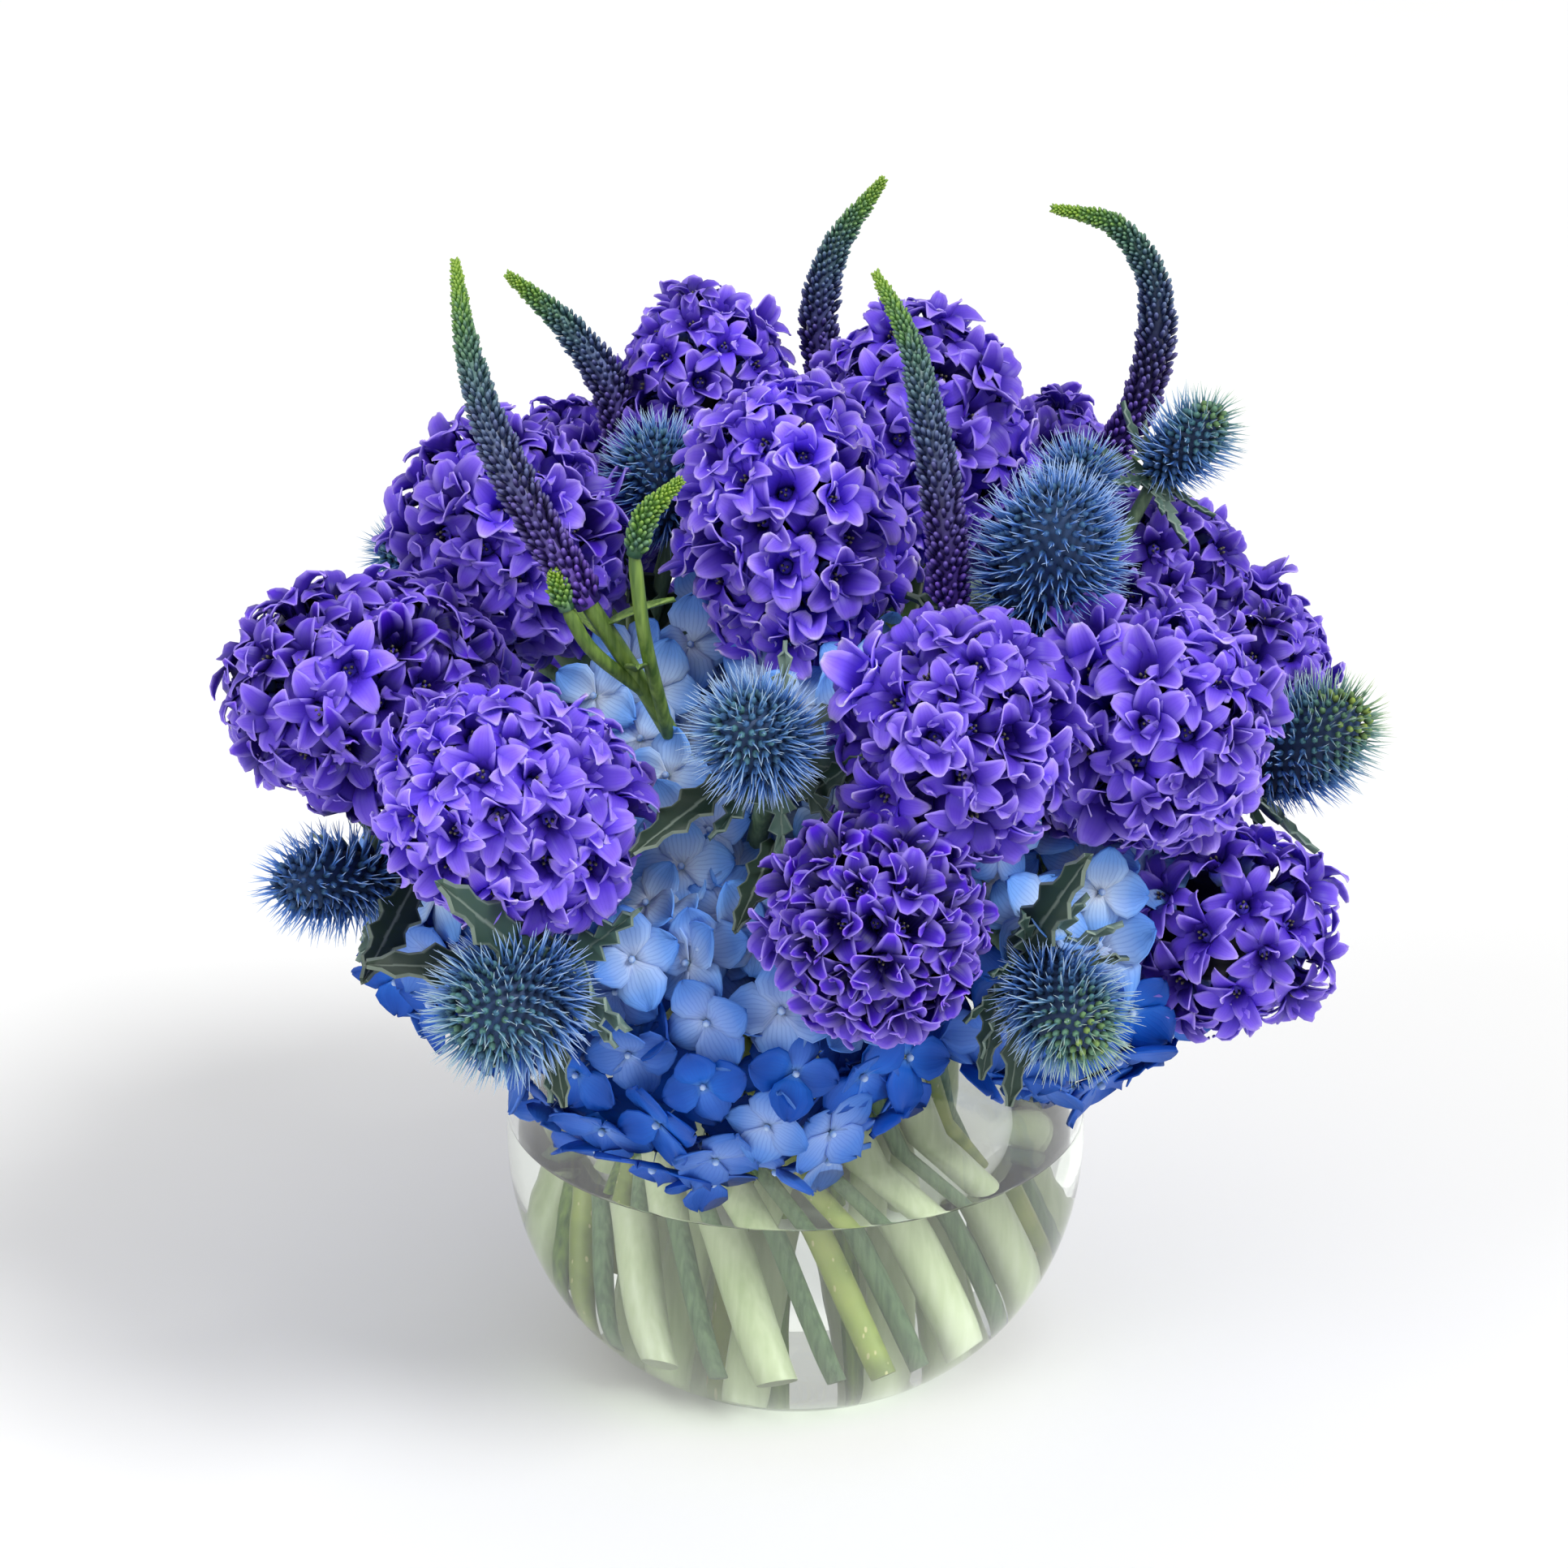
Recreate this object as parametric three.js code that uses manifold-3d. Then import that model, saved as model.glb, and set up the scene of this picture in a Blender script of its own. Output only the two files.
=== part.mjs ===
// A florist's arrangement in a clear glass bubble bowl: blue mophead hydrangeas as a collar over the lip,
// double violet hyacinths above them, blue sea hollies between, and speedwell spikes that curve out of the
// top. Millimetres, +Z up. The origin is the middle of the bowl's foot, on the table. -Y is the side that the
// arrangement faces, +X is its right.
import * as THREE from "three";
import { mergeVertices } from "three/addons/utils/BufferGeometryUtils.js";
import Module from "manifold-3d";

const wasm = await Module();
wasm.setup();

// ---- Driving dimensions ----

const BOWL = {
  radius: 76, // outside, at the belly
  belly: 66, // height of the belly above the table
  foot: 38, // radius of the flat foot
  mouth: 50, // outside radius at the lip
  wall: 3,
  floor: 5,
  squareness: 2.15, // exponent of the lower half's curve, 2 being a true circle
  waterLevel: 70,
  sides: 30,
};
const GAP = 0.35; // between any two pieces that touch
const SIMPLIFY = 0.12; // facets finer than this are left out after a cut
const FAR = 200; // further out than any piece
const STEM = { hyacinth: 5.2, hydrangea: 3.2, seaHolly: 2.5, speedwell: 2.2 }; // radii
// The stems stand in three rings, held by the lip. Each ring is twisted, as in a hand-tied bunch, so no two
// stems meet. rest is the height of the cut ends, near the glass floor or against the curve of the wall.
const RINGS = {
  outer: { neck: 39.5, foot: 51, rest: 21, twist: 60 },
  inner: { neck: 21, foot: 31, rest: 9, twist: -42 },
  core: { neck: 8.5, foot: 13, rest: 8, twist: 24 },
};
const SEED = 7;

// Where each flower stands: its ring, its place round that ring in degrees from +X, and its head's two ends.
const HYACINTHS = [
  { name: "left", ring: "outer", at: 171, base: [-80, -20, 189], tip: [-129, -74, 211], radius: 31 },
  { name: "upper_left", ring: "inner", at: 195, base: [-62, 4, 198], tip: [-82, -8, 256], radius: 29 },
  { name: "front_left", ring: "outer", at: 205, base: [-46, -80, 170], tip: [-88, -108, 209], radius: 29 },
  { name: "top", ring: "inner", at: 110, base: [-24, 43, 216], tip: [-23, 46, 281], radius: 25 },
  { name: "centre", ring: "inner", at: 250, base: [3, -18, 207], tip: [-7, -15, 270], radius: 29 },
  { name: "upper_right", ring: "inner", at: 28, base: [32, 22, 216], tip: [28, 18, 282], radius: 29 },
  { name: "centre_right", ring: "inner", at: 290, base: [34, -52, 180], tip: [38, -107, 223], radius: 29 },
  { name: "right", ring: "outer", at: 293, base: [72, -25, 180], tip: [93, -88, 209], radius: 30 },
  { name: "upper_far_right", ring: "inner", at: 350, base: [78, 18, 190], tip: [104, 2, 230], radius: 26 },
  { name: "far_right", ring: "outer", at: 44, base: [92, 28, 171], tip: [134, 8, 199], radius: 27 },
  { name: "front_low", ring: "outer", at: 261, base: [19, -74, 153], tip: [16, -136, 171], radius: 28 },
  { name: "lower_right", ring: "outer", at: 338, base: [84, -22, 134], tip: [125, -72, 146], radius: 28 },
  { name: "back_upper_right", ring: "inner", at: 65, base: [58, 50, 198], tip: [73, 64, 247], radius: 26 },
  { name: "back_upper_left", ring: "inner", at: 152, base: [-50, 54, 196], tip: [-66, 68, 244], radius: 26 },
  { name: "back", ring: "outer", at: 78, base: [22, 76, 164], tip: [40, 128, 190], radius: 30 },
  { name: "back_left", ring: "outer", at: 115, base: [-46, 62, 160], tip: [-76, 104, 188], radius: 30 },
];
const HYDRANGEAS = [
  { name: "front", at: 234, facing: 250, out: 60, height: 124 },
  {
    name: "right",
    at: 308,
    facing: 340,
    out: 67,
    height: 133,
    leaves: [{ from: [26.5, -28, 115], to: [51, -34, 93], width: 24 }],
  },
  { name: "back", at: 62, facing: 70, out: 58, height: 128 },
  { name: "left", at: 144, facing: 160, out: 73, height: 126 },
];
const SEA_HOLLIES = [
  {
    name: "centre",
    at: 245,
    fork: [-9, -66, 172],
    heads: [{ base: [-4, -80, 196], tip: [-14, -110, 216], radius: 19 }],
  },
  {
    name: "upper_right",
    at: 322,
    fork: [50, -22, 176],
    heads: [
      { base: [58, -28, 210], tip: [62, -58, 252], radius: 20 },
      { base: [68, -4, 230], tip: [70, -8, 250], radius: 14, bare: true },
      { base: [88, 0, 240], tip: [104, -6, 260], radius: 13 },
    ],
  },
  {
    name: "right",
    at: 355,
    fork: [88, -8, 157],
    heads: [{ base: [112, -16, 166], tip: [140, -26, 190], radius: 17 }],
  },
  {
    name: "left",
    at: 189,
    fork: [-80, -32, 150],
    heads: [{ base: [-98, -48, 154], tip: [-122, -78, 163], radius: 15 }],
  },
  {
    name: "front_left",
    at: 221,
    fork: [-52, -68, 143],
    heads: [{ base: [-57, -94, 147], tip: [-73, -130, 149], radius: 19 }],
  },
  {
    name: "front_right",
    at: 277,
    fork: [45, -66, 146],
    heads: [{ base: [55, -83, 145], tip: [68, -114, 137], radius: 18 }],
  },
  {
    name: "upper_left",
    at: 155,
    fork: [-42, 16, 172],
    heads: [
      { base: [-30, 13, 223], tip: [-37, 2, 251], radius: 17, bare: true },
      { base: [-90, 32, 202], tip: [-106, 26, 218], radius: 13, bare: true },
    ],
  },
  {
    name: "back",
    at: 96,
    fork: [-6, 66, 178],
    heads: [{ base: [-12, 88, 206], tip: [-22, 112, 232], radius: 19 }],
  },
];
const SPEEDWELLS = [
  {
    name: "left",
    ring: "core",
    at: 232,
    spike: [[-49, -52, 224], [-61, -51, 244], [-71, -45, 263], [-78, -31, 282], [-81, -20, 299]],
    stem: [[-35, -45, 198]],
    sides: [
      {
        spike: [[-38, -58, 238], [-35, -60, 248], [-27, -62, 257]],
        stem: [[-31, -42, 188], [-36, -56, 218]],
      },
      {
        spike: [[-54, -56, 224], [-57, -56, 233]],
        stem: [[-36, -46, 200], [-49, -54, 214]],
      },
    ],
  },
  {
    name: "upper_left",
    ring: "outer",
    at: 131,
    spike: [[-44, 36, 236], [-48, 35, 256], [-58, 34, 271], [-72, 30, 285]],
    stem: [[-40, 23, 165], [-42, 28, 202]],
  },
  {
    name: "top",
    ring: "core",
    at: 82,
    spike: [[9, 52, 246], [6, 50, 270], [10, 48, 288], [22, 46, 306]],
    stem: [[8, 46, 215]],
  },
  {
    name: "centre",
    ring: "core",
    at: 310,
    spike: [[37, -42, 220], [35, -45, 243], [31, -40, 266], [26, -30, 284], [19, -20, 296]],
    stem: [[27, -30, 190]],
  },
  {
    name: "right",
    ring: "outer",
    at: 20,
    spike: [[80, 33, 237], [87, 31, 250], [91, 30, 268], [89, 28, 286], [79, 25, 299], [64, 20, 304]],
    stem: [[48, 18, 150], [56, 24, 180], [69, 36, 214]],
  },
];

const COLOURS = {
  glass: { color: 0xdfe8e4, roughness: 0.05, metalness: 0, transparent: true, opacity: 0.3 },
  water: { color: 0xd4dfd2, roughness: 0.05, metalness: 0, transparent: true, opacity: 0.4 },
  stem: { color: 0x9db36b, roughness: 0.5, metalness: 0 },
  hyacinth: { color: 0x5b3fc4, roughness: 0.5, metalness: 0 },
  hydrangea: { color: 0x3f74d8, roughness: 0.55, metalness: 0 },
  seaHolly: { color: 0x4a6a8a, roughness: 0.6, metalness: 0 },
  speedwell: { color: 0x3a2f66, roughness: 0.6, metalness: 0 },
};

// ---- Small tools ----

const { degToRad } = THREE.MathUtils;
const point = ([x, y, z]) => new THREE.Vector3(x, y, z);
const polar = (radius, degrees, z) =>
  new THREE.Vector3(radius * Math.cos(degToRad(degrees)), radius * Math.sin(degToRad(degrees)), z);

/** Numbers from 0 to 1 that are the same in every run. */
function seeded(seed) {
  let state = seed;
  return () => {
    state = (state * 16807) % 2147483647;
    return state / 2147483647;
  };
}
const random = seeded(SEED);

/** A geometry from a list of points and a list of triangles, each three places in that list. */
function mesh(points, triangles) {
  const geometry = new THREE.BufferGeometry().setFromPoints(points);
  return geometry.setIndex(triangles.flat());
}

/** A closed geometry as a solid that can be joined and cut. */
function solid(geometry) {
  const bare = geometry.index ? geometry.toNonIndexed() : geometry.clone();
  bare.deleteAttribute("normal");
  bare.deleteAttribute("uv");
  const merged = mergeVertices(bare, 1e-3);
  return new wasm.Manifold(
    new wasm.Mesh({
      numProp: 3,
      vertProperties: merged.attributes.position.array,
      triVerts: new Uint32Array(merged.index.array),
    }),
  );
}

const joined = (solids) => wasm.Manifold.union(solids);
const cut = (body, cutters) => cutters.reduce((left, cutter) => left.subtract(cutter), body);

/** The largest of the bodies that a cut has left. */
const largest = (body) =>
  body.simplify(SIMPLIFY).decompose().reduce((a, b) => (a.volume() > b.volume() ? a : b));

/** A matrix that carries local +Z onto the line from one point to another, and the origin to its middle. */
function along(from, to) {
  const z = to.clone().sub(from).normalize();
  const x = new THREE.Vector3(0, 0, 1).cross(z);
  if (x.length() < 0.01) x.set(1, 0, 0);
  x.normalize();
  const y = z.clone().cross(x);
  return new THREE.Matrix4().makeBasis(x, y, z).setPosition(from.clone().add(to).multiplyScalar(0.5));
}

/** A closed tube through the points, with a radius at each. bumps raises every other corner, in turn. */
function tube(points, radii, sides, bumps = 0) {
  const corners = [];
  const side = new THREE.Vector3(1, 0, 0);
  points.forEach((p, i) => {
    const before = points[Math.max(i - 1, 0)];
    const after = points[Math.min(i + 1, points.length - 1)];
    const forward = after.clone().sub(before).normalize();
    side.addScaledVector(forward, -side.dot(forward)).normalize();
    const other = forward.clone().cross(side);
    for (let k = 0; k < sides; k++) {
      const turn = (2 * Math.PI * k) / sides;
      const r = radii[i] * (1 + ((i + k) % 2 ? bumps : 0));
      const corner = p.clone().addScaledVector(side, r * Math.cos(turn));
      corners.push(corner.addScaledVector(other, r * Math.sin(turn)));
    }
  });
  const triangles = [];
  const last = (points.length - 1) * sides;
  for (let k = 0; k < sides; k++) {
    const next = (k + 1) % sides;
    for (let row = 0; row < last; row += sides) {
      triangles.push([row + k, row + next, row + sides + next]);
      triangles.push([row + k, row + sides + next, row + sides + k]);
    }
    if (k > 1) triangles.push([0, k, k - 1], [last, last + k - 1, last + k]);
  }
  return solid(mesh(corners, triangles));
}

// ---- The bowl and its water ----

/** Outside radius of the bowl at a height. */
function bowlRadius(z) {
  if (z >= BOWL.belly) return Math.sqrt(BOWL.radius ** 2 - (z - BOWL.belly) ** 2);
  const n = BOWL.squareness;
  const full = BOWL.belly / (1 - (BOWL.foot / BOWL.radius) ** n) ** (1 / n);
  return BOWL.radius * (1 - ((BOWL.belly - z) / full) ** n) ** (1 / n);
}

const BOWL_HEIGHT = BOWL.belly + Math.sqrt(BOWL.radius ** 2 - BOWL.mouth ** 2);
// The heights at which the wall is drawn, closer where it curves.
const RING_HEIGHTS = [0, BOWL.floor, 16, 36, BOWL.waterLevel, 98, BOWL_HEIGHT];
const SHOULDER_HEIGHTS = [76, 96, 112, BOWL_HEIGHT];
const SHOULDER_CLEARANCE = 2;

/** A round solid from a closed profile of [radius, height] pairs, listed from the bottom up the outside. */
function turned(profile, sides = BOWL.sides) {
  const lathe = new THREE.LatheGeometry(profile.map(([r, z]) => new THREE.Vector2(r, z)), sides);
  return solid(lathe.rotateX(Math.PI / 2));
}

const outerWall = () => RING_HEIGHTS.map((z) => [bowlRadius(z), z]);
const innerWall = (inset = 0) =>
  RING_HEIGHTS.filter((z) => z >= BOWL.floor).map((z) => [bowlRadius(z) - BOWL.wall - inset, z]);

function makeBowl() {
  return turned([[0, 0], ...outerWall(), ...innerWall().reverse(), [0, BOWL.floor]]);
}

/** The room that the bowl's shoulder takes up, for what drapes over it. Having few sides, it stands clear. */
function shoulderRoom() {
  const wall = SHOULDER_HEIGHTS.map((z) => [bowlRadius(z) + SHOULDER_CLEARANCE, z]);
  return turned([[0, SHOULDER_HEIGHTS[0]], ...wall, [0, BOWL_HEIGHT + GAP]], 16);
}

/** The water has plain slanting holes for the stems that stand in it. */
function makeWater(stemRooms) {
  const side = innerWall(GAP).filter(([, z]) => z <= BOWL.waterLevel);
  side[0] = [side[0][0], BOWL.floor + GAP];
  return cut(turned([[0, BOWL.floor + GAP], ...side, [0, BOWL.waterLevel]]), stemRooms);
}

// ---- Stems ----

const BEND = { leaving: 0.35, arriving: 0.22 }; // how far a bend's handles reach, as shares of its length

const ringFoot = ({ foot, rest, twist }, at) => polar(foot, at + twist, rest);
const ringNeck = ({ neck }, at) => polar(neck, at, BOWL_HEIGHT);

/** A stem's line: straight from its cut end to the lip, then in one bend into the head, along its axis. */
function stemLine(ring, at, head, into, bends = 4) {
  const foot = ringFoot(RINGS[ring], at);
  const neck = ringNeck(RINGS[ring], at);
  const reach = neck.distanceTo(head);
  const rise = neck.clone().sub(foot).normalize();
  const bend = new THREE.CubicBezierCurve3(
    neck,
    neck.clone().addScaledVector(rise, BEND.leaving * reach),
    head.clone().addScaledVector(into, -BEND.arriving * reach),
    head,
  );
  return [foot, ...bend.getPoints(bends)];
}

/** A smooth line on from a stem's foot and neck through more points. */
function stemThrough(ring, at, points, bends) {
  const line = [ringNeck(RINGS[ring], at), ...points];
  const curve = new THREE.CatmullRomCurve3(line, false, "centripetal");
  return [ringFoot(RINGS[ring], at), ...curve.getPoints(bends)];
}

const evenTube = (line, radius, sides, spread = 0) => tube(line, line.map(() => radius + spread), sides);

// ---- Heads of florets ----

/** Fills the band between two loops round the same middle. Each corner is [place in the list, angle]. */
function bridge(outer, inner) {
  const triangles = [];
  const angle = (loop, i) => loop[i % loop.length][1] + (i >= loop.length ? 2 * Math.PI : 0);
  const place = (loop, i) => loop[i % loop.length][0];
  let i = 0;
  let j = 0;
  while (i < outer.length || j < inner.length) {
    const outerNext = i < outer.length ? angle(outer, i + 1) : Infinity;
    const innerNext = j < inner.length ? angle(inner, j + 1) : Infinity;
    if (outerNext < innerNext) {
      triangles.push([place(outer, i), place(outer, i + 1), place(inner, j)]);
      i++;
    } else {
      triangles.push([place(outer, i), place(inner, j + 1), place(inner, j)]);
      j++;
    }
  }
  return triangles;
}

/** Rim of an open floret as [angle, reach, level]: the tips of its petals, and the notches between them. */
const RIMS = {
  six: Array.from({ length: 12 }, (_, k) => [30 * k, ...(k % 2 ? [0.55, "notch"] : [0.97, "tip"])]),
  four: Array.from({ length: 8 }, (_, k) => [45 * k, ...(k % 2 ? [0.97, "tip"] : [0.45, "notch"])]),
};
const UNEVEN = { floret: 0.04, rim: 0.03, turn: 28 }; // how far florets and rims stand out or in, and turn

/**
 * A head whose skin is laid in staggered rows of cells, each drawn out into one open floret, with one more at
 * the tip. across and length are the half sizes. levels are shares of them: the creases between florets, the
 * florets' hearts, and the notches and tips of their rims.
 */
function floretHead({ across, length, rows, columns, lowest, highest, rim, levels }) {
  const points = [];
  const triangles = [];
  const put = (turn, latitude, level) => {
    const r = across * level * Math.cos(latitude);
    const z = length * level * Math.sin(latitude);
    points.push(new THREE.Vector3(r * Math.cos(turn), r * Math.sin(turn), z));
    return points.length - 1;
  };
  const step = Math.PI / columns;
  const rowHeight = (highest - lowest) / rows;
  const creases = Array.from({ length: rows + 1 }, (_, row) =>
    Array.from({ length: 2 * columns }, (_, k) => put(k * step, lowest + row * rowHeight, levels.crease)),
  );
  const jitter = (amount) => (2 * random() - 1) * amount;

  for (let row = 0; row < rows; row++) {
    for (let column = 0; column < columns; column++) {
      const first = 2 * column + (row % 2);
      const corner = (circle, k) => creases[circle][(first + k) % (2 * columns)];
      const cell = [
        [corner(row, 0), -135],
        [corner(row, 1), -90],
        [corner(row, 2), -45],
        [corner(row + 1, 2), 45],
        [corner(row + 1, 1), 90],
        [corner(row + 1, 0), 135],
      ].map(([place, degrees]) => [place, degToRad(degrees)]);
      const turn = (first + 1) * step;
      const latitude = lowest + (row + 0.5) * rowHeight;
      const twist = UNEVEN.turn * random() - 134;
      const lift = jitter(UNEVEN.floret);
      const loop = RIMS[rim].map(([degrees, reach, edge]) => {
        const angle = degToRad(degrees + twist);
        const across = reach * step * Math.cos(angle);
        const up = (reach * rowHeight * Math.sin(angle)) / 2;
        return [put(turn + across, latitude + up, levels[edge] + lift + jitter(UNEVEN.rim)), angle];
      });
      const heart = put(turn, latitude, levels.heart + lift);
      triangles.push(...bridge(cell, loop));
      loop.forEach(([place], k) => triangles.push([place, loop[(k + 1) % loop.length][0], heart]));
    }
  }

  const tipCell = creases[rows].map((place, k) => [place, k * step]);
  const tipLoop = RIMS[rim].map(([degrees, reach, edge]) => {
    const angle = degToRad(degrees);
    const latitude = Math.PI / 2 - reach * (Math.PI / 2 - highest);
    return [put(angle, latitude, levels[edge] + jitter(UNEVEN.rim)), angle];
  });
  const heart = put(0, Math.PI / 2, levels.heart);
  triangles.push(...bridge(tipCell, tipLoop));
  tipLoop.forEach(([place], k) => triangles.push([place, tipLoop[(k + 1) % tipLoop.length][0], heart]));

  for (let k = 2; k < 2 * columns; k++) triangles.push([creases[0][0], creases[0][k], creases[0][k - 1]]);
  return mesh(points, triangles);
}

/** A plain round body with room for a head, for cutting what lies against it. */
function room(matrix, across, length, sides = 8) {
  const ball = new THREE.SphereGeometry(1, sides, 5).rotateX(Math.PI / 2);
  return solid(ball.scale(across, across, length).applyMatrix4(matrix));
}

/** A large block with one face on the plane through a point, on the side that the normal points to. */
function beyond(p, normal) {
  const size = 2 * FAR;
  const far = p.clone().addScaledVector(normal, size);
  return solid(new THREE.BoxGeometry(size, size, size).applyMatrix4(along(p, far)));
}

// ---- Hyacinths ----

const SKIRT = 5; // how far the lowest florets hang back along the stem
const HYACINTH_LEVELS = { crease: 0.6, heart: 0.7, notch: 0.8, tip: 1 };
const TALLEST_LEVEL = HYACINTH_LEVELS.tip + UNEVEN.floret + UNEVEN.rim;
const ROOM_SPREAD = 1.07; // a room has few sides, so it is drawn this much larger than what it makes room for
const SPINE_REACH = 0.75; // how far up the head the stem runs, as a share of half its length
const NEIGHBOURS = 90; // heads whose middles are further apart than this don't touch

const hyacinths = HYACINTHS.map((flower) => {
  const tip = point(flower.tip);
  const axis = tip.clone().sub(point(flower.base)).normalize();
  const base = point(flower.base).addScaledVector(axis, -SKIRT);
  const half = base.distanceTo(tip) / 2;
  const matrix = along(base, tip);
  const head = floretHead({
    across: flower.radius,
    length: half,
    rows: 2,
    columns: 5,
    lowest: degToRad(-60),
    highest: degToRad(50),
    rim: "six",
    levels: HYACINTH_LEVELS,
  });
  // The stem runs on into the head, as the spine that the florets grow from.
  const line = stemLine(flower.ring, flower.at, base.clone().addScaledVector(axis, SPINE_REACH * half), axis);
  return {
    ...flower,
    half,
    middle: base.clone().add(tip).multiplyScalar(0.5),
    head: solid(head.applyMatrix4(matrix)),
    room: room(matrix, flower.radius * TALLEST_LEVEL * ROOM_SPREAD, half * TALLEST_LEVEL * ROOM_SPREAD),
    stem: evenTube(line, STEM.hyacinth, 5),
    stemRoom: evenTube(line, STEM.hyacinth, 5, GAP),
  };
});

/** Two heads that press on each other are parted by a plane between them. */
function parted(one, other) {
  const apart = other.middle.clone().sub(one.middle);
  const share = one.radius / (one.radius + other.radius);
  const normal = apart.clone().normalize();
  return beyond(one.middle.clone().addScaledVector(apart, share).addScaledVector(normal, -GAP / 2), normal);
}

// ---- Sea hollies ----

const SPINE = {
  length: 9,
  lean: 0.25, // towards the tip of the cone
  level: 0.4, // how far it keeps the slope of the cone there
  sunk: 0.75, // share of its length by which the core is smaller than the cone
};
const BRACTS = { count: 5, reach: 1.3, rise: 0.35, thickness: 0.8 };

/** An egg-shaped cone with a spine drawn out of every facet, leaning towards its tip. */
function spinyCone(radius, half) {
  const core = new THREE.OctahedronGeometry(1, 1);
  const across = radius - SPINE.sunk * SPINE.length;
  core.scale(across, across, half - 1);
  const corners = Array.from({ length: core.attributes.position.count }, (_, i) =>
    new THREE.Vector3().fromBufferAttribute(core.attributes.position, i),
  );
  const points = [];
  const triangles = [];
  for (let f = 0; f < corners.length; f += 3) {
    const face = corners.slice(f, f + 3);
    const middle = face.reduce((sum, c) => sum.clone().add(c)).multiplyScalar(1 / 3);
    const rise = middle.z * SPINE.level + SPINE.lean * across;
    const outward = new THREE.Vector3(middle.x, middle.y, rise).normalize();
    const end = middle.clone().addScaledVector(outward, SPINE.length);
    points.push(...face, end);
    const first = f + f / 3;
    for (let k = 0; k < 3; k++) triangles.push([first + k, first + ((k + 1) % 3), first + 3]);
  }
  return mesh(points, triangles);
}

/** The ruff of pointed bracts under a cone: one thin star, thickest at its middle, where the stem is. */
function bractRuff(radius, spread = 0) {
  const outline = [[0, 1], [36, 0.3]]; // [degrees on, share of the reach]
  const reach = radius * BRACTS.reach;
  const edge = Array.from({ length: BRACTS.count }, (_, bract) =>
    outline.map(([degrees, share]) => [(360 * bract) / BRACTS.count + degrees, share * reach + spread]),
  ).flat();
  const half = BRACTS.thickness / 2 + spread;
  const points = [half, -half].flatMap((z) =>
    edge.map(([degrees, r]) => polar(r, degrees, z + (BRACTS.rise * r * r) / reach)),
  );
  const n = edge.length;
  points.push(new THREE.Vector3(0, 0, 2 * half), new THREE.Vector3(0, 0, -2 * half));
  const triangles = [];
  for (let k = 0; k < n; k++) {
    const next = (k + 1) % n;
    triangles.push([k, next, 2 * n], [n + next, n + k, 2 * n + 1], [k, n + k, n + next], [k, n + next, next]);
  }
  return mesh(points, triangles);
}

const SIDE_STEM = 0.7; // thickness of a side stem, as a share of the main one
const SPINE_ROOM = 3; // how far round a cone its neighbours keep clear of the spines

const seaHollies = SEA_HOLLIES.map((spray) => {
  const fork = point(spray.fork);
  const [first, ...others] = spray.heads.map((head) => {
    const base = point(head.base);
    const tip = point(head.tip);
    return { ...head, base, tip, axis: tip.clone().sub(base).normalize(), half: base.distanceTo(tip) / 2 };
  });
  const heads = [first, ...others];
  const leafy = heads.filter((head) => !head.bare);
  const main = stemThrough("outer", spray.at, [fork, first.base.clone().addScaledVector(first.axis, 2)], 5);
  const sides = others.map(({ base, axis }) => [
    fork,
    fork.clone().lerp(base, 0.55).add(new THREE.Vector3(0, 0, -3)),
    base.clone().addScaledVector(axis, 2),
  ]);
  const stems = (spread) => joined([
    evenTube(main, STEM.seaHolly, 4, spread),
    ...sides.map((line) => evenTube(line, SIDE_STEM * STEM.seaHolly, 4, spread)),
  ]);
  const cones = heads.map((h) => solid(spinyCone(h.radius, h.half).applyMatrix4(along(h.base, h.tip))));
  const ruffAt = (h) => along(h.base, h.tip).setPosition(h.base.clone().addScaledVector(h.axis, 0.5));
  const coneRoom = (h) => room(along(h.base, h.tip), h.radius + SPINE_ROOM, h.half + SPINE.length, 7);
  return {
    ...spray,
    body: joined([stems(0), ...cones]),
    ruffs: leafy.map((h) => solid(bractRuff(h.radius).applyMatrix4(ruffAt(h)))),
    stemRoom: stems(GAP),
    room: joined([stems(GAP), ...heads.map(coneRoom)]),
    ruffRoom: joined(leafy.map((h) => solid(bractRuff(h.radius, 0.8).applyMatrix4(ruffAt(h))))),
  };
});

// ---- Speedwells ----

const SPIKE = { radius: 4.6, tip: 0.9, bumps: 0.22, ring: 5.5, taper: 1.7, roundness: 0.8, neck: 0.7 };
const SIDE_SPIKE = 0.6; // thickness of a side shoot, as a share of the main one

/** One leafless stem that runs on into its spike, where the buds stand out in staggered rows. */
function spikeTube(stem, spike, thickness, spread) {
  const curve = new THREE.CatmullRomCurve3(spike, false, "centripetal");
  const rings = Math.round(curve.getLength() / SPIKE.ring);
  const buds = curve.getSpacedPoints(rings);
  const girth = SPIKE.radius * thickness - SPIKE.tip;
  const swell = (share) => SPIKE.tip + girth * Math.min(1, SPIKE.taper * (1 - share)) ** SPIKE.roundness;
  const bare = stem.slice(0, -1);
  const line = [...bare, ...buds];
  const radii = [
    ...bare.map(() => STEM.speedwell * Math.sqrt(thickness)),
    ...buds.map((_, i) => swell(i / rings)),
  ];
  radii[bare.length] *= SPIKE.neck;
  if (spread) return tube(line, radii.map((r) => r * (1 + SPIKE.bumps) + 1.3 * spread), 6);
  return tube(line, radii, 6, SPIKE.bumps);
}

const speedwells = SPEEDWELLS.map((plant) => {
  const spike = plant.spike.map(point);
  const stem = stemThrough(plant.ring, plant.at, [...plant.stem.map(point), spike[0]], 7);
  const shoots = (spread) => joined([
    spikeTube(stem, spike, 1, spread),
    ...(plant.sides ?? []).map((shoot) => {
      const buds = shoot.spike.map(point);
      return spikeTube([...shoot.stem.map(point), buds[0]], buds, SIDE_SPIKE, spread);
    }),
  ]);
  return { ...plant, body: shoots(0), room: shoots(GAP) };
});

// ---- Hydrangeas ----

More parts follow.
